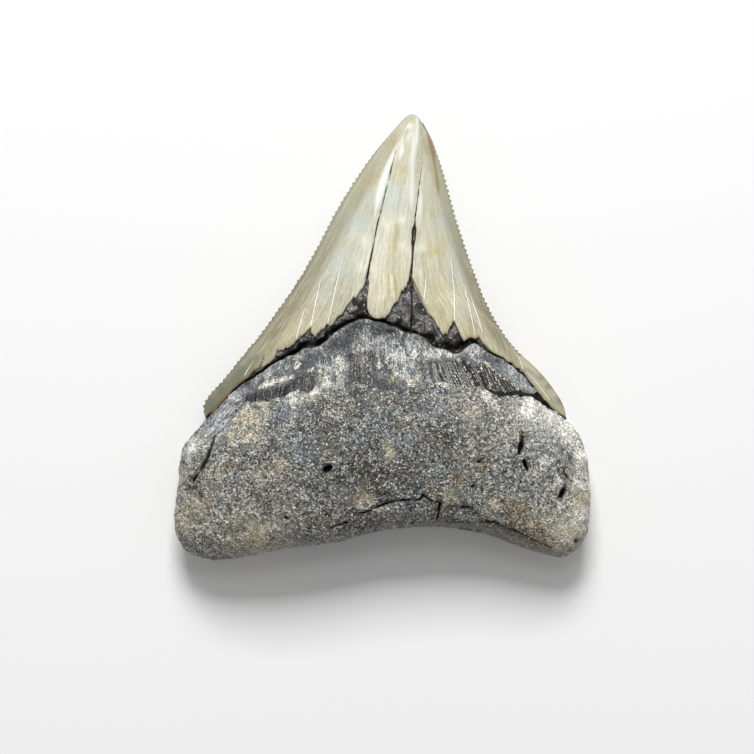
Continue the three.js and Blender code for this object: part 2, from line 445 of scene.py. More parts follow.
# %% Smooth lumps and soft spots
LATTICE = 32


def lumps(points, size, seed):
    """Smooth noise from -1 to 1: random numbers on a cubic lattice, blended between its corners."""
    lattice = np.random.default_rng(seed).uniform(-1, 1, (LATTICE, LATTICE, LATTICE))
    place = points / size
    cell = np.floor(place).astype(int)
    blend = ease(place - cell, 0, 1)
    total = np.zeros(points.shape[:-1])
    for corner in np.ndindex(2, 2, 2):
        weight = np.prod(np.where(corner, blend, 1 - blend), axis=-1)
        i, j, k = np.moveaxis((cell + corner) % LATTICE, -1, 0)
        total += weight * lattice[i, j, k]
    return total


def bumpy(points, *parts):
    """Sum of lumps, each given by its height in mm, its size in mm and the seed of its numbers."""
    return sum(height * lumps(points, size, seed) for height, size, seed in parts)


def bell(distance, width):
    """Bell curve: 1 at no distance, falling to a third at the width."""
    return np.exp(-((distance / width) ** 2))


def spots(plane, places):
    """Soft round patches: for each (x, y, radius) a bell curve, and the strongest one counts."""
    x, y = plane[..., 0], plane[..., 1]
    bells = [np.exp(-((x - a) ** 2 + (y - b) ** 2) / r**2) for a, b, r in places]
    return np.max(bells, axis=0)


inner_points = np.dstack([inner_xy, inner_z])
outer_points = np.dstack([outer_xy, outer_z])
print("points that carry relief:", inner_u.size + outer_u.size)

# %% [markdown]
# ## Enamel and dentine
# The enamel is a thin glossy shell with faint flutes along its growth, two cracks right through it
# and a broken lower edge. Under that edge the dentine lies lower, and at the crevice it drops away.
# All this could be sculpted by hand. Drawn as routes with a width, each crack and ridge is a few
# numbers instead, and its colour can follow the same route later.

# %% Routes drawn on the crown
# A route is a list of places with the half-width there, and it closes where that is below zero
LEFT_CRACK_HALVES = (0.0, 0.05, 0.06, 0.08, 0.1, 0.18, 0.3)
enamel_cracks = [
    [(x, y, half) for (x, y), half in zip(LEFT_CRACK, LEFT_CRACK_HALVES)],
    [(9.4, 42.1, -0.1), (9.2, 40.0, -0.06), (8.5, 36.0, 0.0), (8.0, 31.6, 0.05), (7.3, 26.6, 0.1),
     (7.2, 24.6, 0.14), (7.1, 23.8, 0.45), (6.9, 21.0, 0.36), (6.8, 19.0, 0.22), (6.7, 16.5, 0.16),
     (6.3, 13.4, 0.35)],
    [(-25.3, -1.7, -0.05), (-26.4, -4.0, 0.04), (-27.5, -7.3, 0.1)],
]
dentine_cracks = [
    widen([(6.7, 11.5), (6.6, 6.0), (6.3, 1.5)], 0.2), widen([(2.6, 5.4), (5.0, 5.0)], 0.1),
    widen([(-4.3, 9.5), (-4.9, 5.5)], 0.15), widen([(10.8, 3.2), (12.6, -0.6)], 0.12),
]
# Low ridges in the enamel along the growth, each also carrying a painted highlight
highlight_ridges = [
    [(3.6, 43.4, -0.2), (2.6, 41.0, 0.15), (1.2, 38.0, 0.3), (0.2, 35.0, 0.45), (-0.7, 32.0, 0.5),
     (-1.3, 29.5, 0.3), (-2.1, 26.0, -0.5)],
    [(4.4, 43.4, -0.2), (4.2, 41.5, 0.2), (3.6, 39.2, -0.3)],
    [(7.7, 49.0, -0.1), (7.6, 45.5, 0.2), (7.1, 42.5, 0.3), (6.8, 39.5, 0.15), (6.6, 36.0, 0.1),
     (6.5, 32.5, 0.2), (6.4, 30.0, 0.15), (6.3, 26.0, -0.5)],
    [(8.7, 32.5, -0.4), (8.5, 30.5, 0.0), (8.3, 27.5, 0.05), (8.3, 23.5, -0.4)],
]
veins = [
    [(9.9, 14.4), (9.2, 8.3)], [(15.2, 18.5), (15.9, 10.0), (16.0, 3.2)], [(18.1, 12.0), (20.6, 0.3)],
    [(19.5, 9.5), (22.2, 1.0)], [(-9.3, 16.4), (-12.2, 2.8)], [(-13.7, 13.5), (-16.1, 2.1)],
    [(-17.2, 7.0), (-19.3, -0.6)], [(-28.5, -5.0), (-31.0, -8.9)],
    [(30.0, -3.6), (31.3, -7.2)], [(31.9, -7.7), (33.6, -9.6), (35.6, -12.0), (37.3, -14.2)],
]
# Brown mineral stains: beside the chip at the tip, in two cracks, and along the left lower edge
stains = [
    [(8.7, 48.2, 0.1), (9.9, 46.0, -0.1), (10.7, 43.5, 0.3), (11.3, 41.0, 0.3), (11.9, 37.5, 0.0),
     (12.4, 34.0, 0.1), (12.5, 31.8, -0.1)],
    [(-26.3, -3.6, -0.3), (-27.6, -7.2, 0.05)],
    [(-39.4, -18.0, 0.3), (-35.6, -14.4, 0.25), (-32.2, -11.0, 0.1), (-28.8, -7.9, 0.1)],
]
print("cracks, ridges, veins:", len(enamel_cracks + dentine_cracks), len(highlight_ridges), len(veins))

# %% How far each point is from them
inner_x, inner_y = inner_xy[..., 0], inner_xy[..., 1]


def across_tooth(table):
    """Values given at places across the tooth, read at every point of the inner grid."""
    return np.interp(inner_x, *np.transpose(table))


def beside(plane, lines):
    """Signed distance to the nearest of several upright lines, and how much of that line is there.

    The sign turns at each line, so the value passes straight through zero and a hairline stays
    sharp between two columns of the grid.
    """
    x, y = plane[..., 0], plane[..., 1]
    offsets = np.stack([x - np.interp(y, *np.array(line)[::-1].T[::-1]) for line in lines])
    tops = np.array([line[0][1] for line in lines])[:, None, None]
    ends = np.array([line[-1][1] for line in lines])[:, None, None]
    there = ease(y, tops, tops - 3) * ease(y, ends - 0.4, ends)
    closest = np.abs(offsets).argmin(0)[None]
    distance = np.take_along_axis(np.abs(offsets), closest, 0)[0]
    turns = np.where((offsets > 0).sum(0) % 2, -1, 1)
    return turns * distance, np.take_along_axis(there, closest, 0)[0]


# How wide the crevice gapes: across the tooth in mm, and as a share of its usual width
CREVICE_WIDTH = [
    (-40, 0.2), (-30, 0.3), (-24, 0.6), (-20, 1.1), (-13, 1.3), (-8, 0.9), (-2, 0.8), (4, 0.9), (9, 0.9),
    (11, 1.5), (17, 1.6), (19, 0.8), (24, 0.5), (34, 0.3), (41, 0.2),
]
CREVICE_SAMPLES = np.linspace(0, 1, 120)
crack_gap = nearest(inner_xy, enamel_cracks) + bumpy(inner_points, (0.07, 0.9, 10))
dentine_gap = nearest(inner_xy, dentine_cracks)
highlight_ridge_gap = nearest(inner_xy, highlight_ridges)
stain_gap = nearest(inner_xy, stains)
vein_side, vein_there = beside(inner_xy, veins)
crevice_gap = route_gap(inner_xy, widen(along(crevice_line, CREVICE_SAMPLES), 0))
crevice_gap *= 1 + bumpy(inner_points, (0.55, 1.8, 9))
gape = across_tooth(CREVICE_WIDTH)
crevice_gap /= gape
print(f"the crevice gapes {gape.min():.1f} to {gape.max():.1f} times its usual width")

# %% Relief of the enamel
FLUTES_ACROSS, FLUTE_LENGTH, FLUTES_START = 60, 25, 4
RIDGE_HEIGHT, RIDGE_WIDTH = 0.07, 0.8
ENAMEL_CRACK_DEPTH = 0.7
EDGE_DROP, EDGE_ROUNDING = 0.15, 0.25
flute_places = np.dstack([inner_u * FLUTES_ACROSS, inner_y / FLUTE_LENGTH, 0 * inner_u])
flutes = bumpy(flute_places, (0.04, 1, 11)) + bumpy(flute_places * (3, 2, 1), (0.02, 1, 12))
flutes *= ease(inner_rim, 0, FLUTES_START)
enamel_relief = flutes + RIDGE_HEIGHT * bell(np.maximum(highlight_ridge_gap, 0), RIDGE_WIDTH)
enamel_relief -= ENAMEL_CRACK_DEPTH * ease(crack_gap, 0.12, -0.15)
edge_distance = np.zeros_like(inner_u)
edge_distance[CREVICE_ROW + 1:] = (inner_crown_t - inner_edge) * column_lengths(inner_crown, inner_column)
enamel_relief -= EDGE_DROP * np.exp(-np.maximum(edge_distance, 0) / EDGE_ROUNDING)
print(f"enamel relief {enamel_relief.min():.2f} to {enamel_relief.max():.2f} mm")

# %% Relief of the bared dentine
ENAMEL_THICKNESS = 0.8
TERRACE_STEPS, TERRACE_HEIGHT = 3, 0.35
DENTINE_CRACK_DEPTH = 0.5
GROOVE_DEPTH, GROOVE_PLACE, GROOVE_WIDTH = 1.6, 0.4, 0.5
# The dentine is blocky: lumps cut into flat terraces
terraces = np.round(TERRACE_STEPS * lumps(inner_points, 1.6, 13)) / TERRACE_STEPS
dentine_relief = -ENAMEL_THICKNESS * ease(gape, 0, 1) + TERRACE_HEIGHT * terraces
dentine_relief += bumpy(inner_points, (0.12, 0.5, 14))
dentine_relief -= DENTINE_CRACK_DEPTH * ease(dentine_gap, 0.15, -0.1)
dentine_relief -= GROOVE_DEPTH * np.minimum(gape, 1) * bell(crevice_gap - GROOVE_PLACE, GROOVE_WIDTH)
print(f"dentine relief {dentine_relief.min():.2f} to {dentine_relief.max():.2f} mm")

# %% [markdown]
# ## Neck and root
# The neck band is dense and streaked up and down, a little lower than the root. The root is old
# bone: lumpy, grainy, pierced by nutrient holes, cracked along its foot. A displacement texture
# could roughen it, but it would not know where the holes are. So lumps of several sizes are added
# up, and holes and cracks are cut into them along their routes.

# %% Routes drawn on the root
holes = [
    [(-12.5, -29.7, 0.7), (-11.8, -29.3, 0.7)], [(40.7, -34.5, 0.6), (40.2, -35.7, 0.8)],
    [(30.9, -21.4, 0.0), (30.9, -23.4, 0.45), (30.2, -25.9, 0.5)],
    [(31.4, -27.7, 0.4), (31.7, -29.0, 0.45), (32.5, -31.2, 0.0)],
    [(19.9, -33.7, 0.35), (19.8, -33.6, 0.35)], [(43.0, -45.6, 0.45), (42.8, -45.9, 0.4)],
    [(-21.5, -40.3, 0.3), (-21.0, -40.6, 0.2)], [(21.0, -28.2, 0.15), (21.6, -27.9, 0.2)],
]
FOOT_CRACK = [
    (-8.0, -39.6), (-4.1, -39.3), (-1.3, -38.0), (3.2, -36.6), (8.4, -36.3), (8.8, -35.2),
    (10.4, -36.6), (13.0, -37.4), (17.1, -38.2), (19.4, -38.2), (20.2, -39.3), (23.3, -41.4),
]
UNDER_EDGE = [
    (12.0, -41.6), (17.0, -41.8), (23.5, -41.8), (24.6, -41.6), (27.0, -43.0), (31.0, -44.5), (34.0, -46.0),
    (37.4, -47.4),
]
LEFT_GROOVE = [
    (-37.4, -20.6, 0.0), (-37.8, -23.2, 0.25), (-38.6, -25.8, 0.5), (-39.7, -28.4, 0.4),
    (-40.8, -30.2, 0.05), (-42.2, -32.2, 0.35), (-43.6, -34.6, 0.1),
]
# Cracks, the crease where the foot turns under, and two lines along the neck's foot that are only painted
# shade
root_cracks_and_shade_lines = [
    LEFT_GROOVE, widen(FOOT_CRACK, 0.1), widen(UNDER_EDGE, 0.12),
    widen([(12.7, -37.1), (12.0, -41.3)], 0.2), widen([(-12.2, -43.0), (-7.7, -41.3)], 0.1),
    widen([(-30.9, -15.4), (-33.2, -17.0), (-36.0, -20.0)], 0.02),
    [(0.5, -11.9, -0.1), (3.5, -12.1, 0.05), (8.5, -11.9, 0.1), (13.0, -11.5, 0.0)],
    [(40.6, -30.0, 0.2), (41.2, -31.2, 0.35), (42.2, -32.4, 0.1)],
    [(22.5, -11.5, 0.0), (26.3, -13.0, 0.45), (29.8, -12.6, 0.5), (34.1, -13.3, 0.4), (37.8, -16.4, 0.2),
     (41.0, -18.8, 0.1)],
]
print("holes and cracks:", len(holes), len(root_cracks_and_shade_lines))

# %% Routes drawn on the neck
# The dark band at the neck's foot is strong on both sides and faint in the middle
BAND_TOP = [
    (-31.1, -13.2), (-29.0, -12.8), (-26.0, -12.4), (-24.0, -11.6), (-21.0, -10.6), (-19.0, -9.6),
    (-17.0, -8.4), (-15.0, -8.0), (-13.0, -9.0), (-8.0, -5.0), (-6.5, -3.8), (-2.5, -3.6), (-1.0, -6.0),
    (9.0, -5.6), (14.0, -5.6), (20.0, -6.1), (24.0, -6.8), (26.0, -8.2), (28.0, -9.6), (30.0, -11.2),
    (32.0, -12.1), (36.0, -14.3), (40.0, -17.8),
]
BAND_STRENGTH = [
    (-33, 0), (-30.5, 1), (-26, 1), (-22, 1), (-19, 0.75), (-15, 0.6), (-13, 0.15), (-9, 0.15), (-7, 0.7),
    (-2, 0.6), (-0.8, 0.1), (6, 0.15), (10, 0.5), (15, 0.85), (20, 0.95), (22, 1), (36, 1), (39, 0),
]
CRUST = [
    [(-27.6, -11.7, 0.2), (-26.0, -11.1, 0.5), (-24.0, -10.0, 0.5), (-22.0, -9.7, 0.3), (-20.0, -9.3, 0.2)],
    [(-18.9, -6.2, 0.4), (-19.0, -7.3, 0.4)],
    [(-16.3, -7.8, 0.2), (-14.3, -7.9, 0.2), (-12.6, -9.6, 0.6), (-12.0, -10.6, 0.4)],
    [(-10.2, -8.4, 0.3), (-9.1, -7.2, 0.6), (-10.4, -5.2, 0.3), (-9.3, -4.3, 0.1), (-7.0, -4.0, -0.1),
     (-3.2, -3.0, -0.1), (-1.1, -4.6, 0.15), (-0.8, -7.2, 0.1)],
    [(0.8, -5.0, 0.2), (2.2, -8.4, 0.1), (3.3, -8.8, 0.3)], [(5.4, -9.6, 0.3), (6.6, -11.2, 0.2)],
    [(14.2, -5.4, -0.1), (20.0, -6.0, -0.1), (22.2, -6.2, 0.0), (24.2, -7.0, 0.0), (26.0, -8.6, 0.0),
     (28.0, -10.0, 0.0), (29.4, -11.0, -0.1)],
    [(12.4, -10.6, 0.2), (14.9, -11.0, 0.3)], [(7.7, -9.0, 0.4), (8.1, -9.5, 0.4)],
]
# On the left a slope of slate fibres leads down from the enamel
FIBRES = [(-30.5, -13.0, 0.8), (-34.6, -17.2, 2.0), (-38.0, -20.6, 2.4)]
print("lines of crust:", len(CRUST))

# %% Relief of the root
HOLE_DEPTH, ROOT_CRACK_DEPTH = 1.9, 0.9
NODULE, NODULE_HEIGHT = (-42.4, -26.4, 2.8), 0.9
DENT, DENT_DEPTH = (39.9, -35.6, 2.4), 0.6
ROOT_GRAIN, NECK_GRAIN = 0.08, 0.03
SUNK_DEPTH, UNDER_DEPTH, UNDER_CALM = 0.4, 0.5, 0.7


def below(line, start, end):
    """0 above a line that crosses the tooth, 1 below it, easing between two depths under it."""
    return ease(across_tooth(line) - inner_y, start, end)


hole_gap = nearest(inner_xy, holes) + bumpy(inner_points, (0.25, 0.8, 19))
root_gap = nearest(inner_xy, root_cracks_and_shade_lines) + bumpy(inner_points, (0.2, 1.1, 20))
grain = 0.7 * np.random.default_rng(21).normal(0, 1, inner_u.shape) + bumpy(inner_points, (1.3, 0.9, 28))
root_relief = bumpy(inner_points, (0.5, 15, 22), (0.3, 5, 23), (0.14, 1.9, 24))
# A nodule stands beside the groove on the left, and the big hole on the right sits in a dent
root_relief += NODULE_HEIGHT * spots(inner_xy, [NODULE]) - DENT_DEPTH * spots(inner_xy, [DENT])
root_relief -= HOLE_DEPTH * ease(hole_gap, 0.25, -0.5) + ROOT_CRACK_DEPTH * ease(root_gap, 0.25, -0.1)
# Below the long crack the foot has sunk a little, and at the right it turns under
sunk = below(FOOT_CRACK, 0, 0.5) * ease(inner_x, -9, -3) * ease(inner_x, 24, 21)
under = below(UNDER_EDGE, 0, 0.6) * ease(inner_x, 10, 13) * ease(inner_x, 41, 36)
root_relief += ROOT_GRAIN * grain * (1 - UNDER_CALM * under) - SUNK_DEPTH * sunk - UNDER_DEPTH * under
print(f"root relief {root_relief.min():.2f} to {root_relief.max():.2f} mm")

# %% Relief of the neck
CRUST_HEIGHT, BAND_DEPTH = 0.15, 0.5
LIP_HEIGHT, LIP_PLACE, LIP_WIDTH = 0.35, 1.2, 0.9
band = below(BAND_TOP, -0.5, 0.5) * across_tooth(BAND_STRENGTH)
band[:NECK_ROW] = 0
crust_gap = nearest(inner_xy, CRUST) + bumpy(inner_points, (0.3, 1.8, 29), (0.6, 0.7, 30))
neck_relief = bumpy(inner_points, (0.15, 1.3, 26), (0.5, 4.5, 27)) + NECK_GRAIN * grain
neck_relief += CRUST_HEIGHT * ease(crust_gap, 0.3, -0.3) - BAND_DEPTH * band
# A bumpy lip overhangs the crevice
lip = bell(crevice_gap - LIP_PLACE, LIP_WIDTH)
neck_relief += lip * (LIP_HEIGHT + bumpy(inner_points, (0.4, 1.6, 25)))
neck_relief -= 0.5 * GROOVE_DEPTH * bell(crevice_gap, 0.3)
print(f"neck relief {neck_relief.min():.2f} to {neck_relief.max():.2f} mm")

# %% Put the zones of the inner face together
RELIEF_START = 1.2
inner_relief = root_relief.copy()
inner_relief[NECK_ROW:] = neck_relief[NECK_ROW:]
inner_relief[CREVICE_ROW:] = dentine_relief[CREVICE_ROW:]
inner_relief[ENAMEL_ROW:] = enamel_relief[ENAMEL_ROW:]
inner_relief[NECK_ROW:] *= ease(inner_rim, 0, RELIEF_START)[NECK_ROW:]
print(f"inner relief {inner_relief.min():.2f} to {inner_relief.max():.2f} mm")

# %% [markdown]
# ## The outer face
# It is hidden under the tooth, but the part is looked at from all sides. Its enamel is smooth with
# a few drying cracks, and the root below is grainy. It could be left flat, but then it would look
# unfinished. Relief only goes inwards here, so that the flat places still touch the floor.

# %% Relief of the outer face
FAR = 9.0
# Each drying crack follows one column of the grid: its number, and how far up it runs
OUTER_CRACKS = [(64, 38.0), (44, 18.0), (93, 16.0)]
OUTER_CRACK_HALF, OUTER_CRACK_DEPTH, CLOSING_LENGTH = 0.15, 0.45, 25
OUTER_SINK, OUTER_GRAIN, OUTER_HOLE_DEPTH, OUTER_START = 0.3, 0.05, 1.2, 1.5
column_number = np.arange(outer_u.shape[1])
column_width = np.ptp(outer_xy[..., 0], axis=1)[:, None] / column_number[-1]
outer_crack_gap = np.full(outer_u.shape, FAR)
for column, top in OUTER_CRACKS:
    closing = 2 * OUTER_CRACK_HALF * ease(outer_xy[..., 1], top - CLOSING_LENGTH, top)
    gap = np.abs(column_number - column) * column_width + closing - OUTER_CRACK_HALF
    outer_crack_gap = np.minimum(outer_crack_gap, gap)
outer_crack_gap[:ENAMEL_ROW] = FAR
outer_holes = [[(-16.0, -24.0, 0.6), (-15.6, -24.4, 0.5)], [(18.0, -27.0, 0.5), (18.2, -27.3, 0.5)]]
outer_hole_gap = nearest(outer_xy, outer_holes)
outer_grain = np.abs(np.random.default_rng(31).normal(0, 1, outer_u.shape))
outer_root_relief = OUTER_SINK + bumpy(outer_points, (0.18, 6, 32), (0.1, 1.9, 33))
outer_root_relief += OUTER_GRAIN * outer_grain + OUTER_HOLE_DEPTH * ease(outer_hole_gap, 0.25, -0.5)
outer_relief = OUTER_CRACK_DEPTH * ease(outer_crack_gap, 0.12, -0.15)
outer_relief[:ENAMEL_ROW] = outer_root_relief[:ENAMEL_ROW]
outer_relief *= ease(outer_rim, 0, OUTER_START)
print(f"outer relief up to {outer_relief.max():.2f} mm")

# %% [markdown]
# ## Serrations
# The cutting edges carry fine teeth. Each one is two rows of the crown: one row line pushed out,
# the next pulled in. Near the corners the rows run almost along the edge, so the push depends on
# the place along the edge and not on the row, and it fades within a millimetre. The flake at the
# right corner is smooth, so there the teeth start further up.

# %% Push the rim out and in
SERRATION_DEPTH, SERRATION_REACH = 0.3, 0.6
SERRATION_SIZES = (0.6, 1.2)
# Each cutting edge: its curve, the way it faces, its column, its seed and where its teeth start
SERRATED_EDGES = [(crown_left, -1, 0, 41, 0.01), (crown_right, 1, -1, 42, 0.22)]


def walk_beside(plane, line, runs=90):
    """Distance to a traced curve, and the share of the curve's length at the nearest place."""
    shares = np.linspace(0, 1, runs + 1)
    knots = along(line, shares)
    best = np.full(plane.shape[:-1], np.inf)
    place = np.zeros_like(best)
    for i in range(runs):
        run = knots[i + 1] - knots[i]
        part = np.clip((plane - knots[i]) @ run / (run @ run), 0, 1)
        reach = np.linalg.norm(plane - knots[i] - part[..., None] * run, axis=-1)
        place = np.where(reach < best, mix(shares[i], shares[i + 1], part), place)
        best = np.minimum(best, reach)
    return best, place


def serrate(plane, step=0.003):
    """Moves points near the cutting edges out and in by turns, square to the edge."""
    moved = plane.copy()
    crown = plane[ENAMEL_ROW:]
    for line, side, column, seed, start in SERRATED_EDGES:
        distance, share = walk_beside(crown, line)
        ahead = along(line, np.clip(share + step, 0, 1)) - along(line, np.clip(share - step, 0, 1))
        outward = side * np.stack([ahead[..., 1], -ahead[..., 0]], axis=-1)
        outward /= np.linalg.norm(outward, axis=-1, keepdims=True)
        rim_share = inner_crown_t[DENTINE_ROWS - 1:, column]
        sizes = np.random.default_rng(seed).uniform(*SERRATION_SIZES, CROWN_ROWS + 1)
        turn = np.where(np.arange(CROWN_ROWS + 1) % 2, -1, 1) * sizes
        turn *= ease(rim_share, 0.99, 0.75) * ease(rim_share, start, start + 0.04)
        push = SERRATION_DEPTH * np.interp(share, rim_share, turn) * bell(distance, SERRATION_REACH)
        moved[ENAMEL_ROW:] += push[..., None] * outward
    return moved


def raise_relief(plane, height, relief):
    """Solid points moved along the surface normal, the cross product of the grid's two slopes."""
    points = np.dstack([plane, height])
    normal = np.cross(np.gradient(points, axis=1), np.gradient(points, axis=0))
    normal /= np.linalg.norm(normal, axis=-1, keepdims=True)
    return points + normal * relief[..., None]


inner_skin = raise_relief(serrate(inner_xy), inner_z, inner_relief)
outer_skin = raise_relief(serrate(outer_xy), outer_z, outer_relief)
print(f"skin spans {np.ptp(inner_skin[..., 0]):.1f} x {np.ptp(inner_skin[..., 1]):.1f} mm")

# %% [markdown]
# ## One closed mesh
# Both grids go into one mesh. They could be two meshes whose doubles are merged, but sharing the
# vertices of the rim by number is exact, and it leaves no gap. The outer grid has half as many
# columns, so along the foot and the tip each of its faces takes in one extra vertex.

# %% Join the faces
rows, columns = inner_u.shape
outer_columns = outer_u.shape[1]
inner_index = np.arange(rows * columns).reshape(rows, columns)
outer_index = inner_index[:, ::2].copy()
own = (rows - 2) * (outer_columns - 2)
outer_index[1:-1, 1:-1] = rows * columns + np.arange(own).reshape(rows - 2, outer_columns - 2)


def quads(index):
    """The four corners of every cell of a grid, counter-clockwise seen from above."""
    return np.stack([index[:-1, :-1], index[:-1, 1:], index[1:, 1:], index[1:, :-1]], axis=-1)


inner_quads = quads(inner_index)
outer_quads = quads(outer_index)[1:-1, :, ::-1]
foot_extra, tip_extra = inner_index[0, 1::2], inner_index[-1, 1::2]
a, b, c, d = quads(outer_index)[0].T
foot_fives = np.stack([a, d, c, b, foot_extra], axis=-1)
a, b, c, d = quads(outer_index)[-1].T
tip_fives = np.stack([a, d, tip_extra, c, b], axis=-1)

own_outer = outer_skin[1:-1, 1:-1]
vertices = np.concatenate([inner_skin.reshape(-1, 3), own_outer.reshape(-1, 3)]) * MM
faces = inner_quads.reshape(-1, 4).tolist() + outer_quads.reshape(-1, 4).tolist()
faces += foot_fives.tolist() + tip_fives.tolist()
mesh = bpy.data.meshes.new("tooth_skin")
mesh.from_pydata(vertices.tolist(), [], faces)
repaired = mesh.validate()
tooth = bpy.data.objects.new("tooth_skin", mesh)
bpy.context.collection.objects.link(tooth)
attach(tooth, "root")
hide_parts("tooth")
triangles = sum(len(face) - 2 for face in faces)
print(f"{len(vertices)} vertices, {triangles} triangles, repaired: {repaired}")

# %% Smooth shading, with the cutting edges kept sharp
SHARP_ANGLE = 65
mesh.shade_smooth()
mesh.set_sharp_from_angle(angle=np.radians(SHARP_ANGLE))
print("edges are sharp from", SHARP_ANGLE, "degrees")

# %% [markdown]
# ## What the colours will read
# Colour follows the same routes as the relief. A painted image could hold it, but it would blur
# close up. So each distance is stored on the vertices as an attribute, in millimetres, for the
# shader to cut sharply, and a UV map holds the place across and along the growth.

# %% Distances that only the colours need
row = np.arange(rows)[:, None]
inner_gap = np.where(row < CREVICE_ROW, root_gap, np.where(row < ENAMEL_ROW, dentine_gap, crack_gap))
neck_height = np.full(inner_u.shape, FAR)
neck_height[:CREVICE_ROW + 1] = (inner_root_t - inner_neck) * column_lengths(inner_root, inner_column)
# Between the two dark bands the border is uneven
uneven = ease(inner_x, -20, -14) * ease(inner_x, 14, 8)
neck_height += bumpy(inner_points, (1.6, 1.6, 43)) * uneven + bumpy(inner_points, (0.5, 0.7, 44))
outer_edge_distance = np.full(outer_u.shape, FAR)
outer_length = column_lengths(outer_crown, outer_column)
outer_edge_distance[CREVICE_ROW + 1:] = (outer_crown_t - outer_edge) * outer_length
outer_far = np.full(outer_u.shape, FAR)
# The slots of the dark band lean over towards the right: mm sideways for each mm down
COMB_SLANT = [(-35, -0.2), (-15, -0.1), (-5, 0.0), (8, 0.1), (14, 0.45), (35, 0.5)]
COMB_LEVEL = -6.0
comb = inner_x + across_tooth(COMB_SLANT) * (inner_y - COMB_LEVEL)
print(f"the neck rises up to {neck_height[:CREVICE_ROW].max():.1f} mm above its foot")

# %% Collect the marks for the mesh
# The band beside each cutting edge, tan plus painted shade: mm from the edge where it starts and where it
# is full
LEFT_BEVEL_SHADE, RIGHT_BEVEL_SHADE = (5.2, 2.6), (3.6, 1.6)


def on_mesh(inner, outer):
    """One value for each vertex: the inner grid, then the outer grid without its rim."""
    return np.concatenate([np.ravel(inner), np.ravel(outer[1:-1, 1:-1])]).astype(np.float32)


def bevel_shade_mark(rim, u, plane):
    """The bevel bands, tan plus painted shade: weaker towards the tip, and faint on the flake at the right
    corner.
    """
    shade_band = np.where(u < 0.5, ease(rim, *LEFT_BEVEL_SHADE), ease(rim, *RIGHT_BEVEL_SHADE))
    low_down = mix(0.45, 1.0, ease(plane[..., 1], 40, 5))
    return shade_band * low_down * mix(1.0, 0.15, ease(plane[..., 0], 26, 33))


def flank_mark(plane):
    """How far towards the two ends of the root: 0 in the middle, most at the right lobe."""
    return ease(np.abs(plane[..., 0]), 10, 36) * np.where(plane[..., 0] > 0, 1.3, 0.9)


marks = {
    "rim": on_mesh(inner_rim, outer_rim),
    "gap": on_mesh(inner_gap, outer_crack_gap),
    "hole": on_mesh(hole_gap, outer_hole_gap),
    "vein_side": on_mesh(vein_side, outer_far),
    "vein_there": on_mesh(vein_there, 0 * outer_u),
    "ridge": on_mesh(highlight_ridge_gap, outer_far),
    "stain": on_mesh(stain_gap, outer_far),
    "crevice": on_mesh(crevice_gap, np.abs(outer_edge_distance)),
    "neck": on_mesh(neck_height, -outer_far),
    "band": on_mesh(band, 0 * outer_u),
    "comb": on_mesh(comb, outer_xy[..., 0]),
    "crust": on_mesh(crust_gap, outer_far),
    "under": on_mesh(under, 0 * outer_u),
    "fibre": on_mesh(ease(route_gap(inner_xy, FIBRES), 0.8, -0.6), 0 * outer_u),
    "edge": on_mesh(edge_distance, outer_edge_distance),
    "bevel": on_mesh(bevel_shade_mark(inner_rim, inner_u, inner_xy), bevel_shade_mark(outer_rim, outer_u, outer_xy)),
    "flank": on_mesh(flank_mark(inner_xy), flank_mark(outer_xy)),
}
print("marks:", ", ".join(marks))
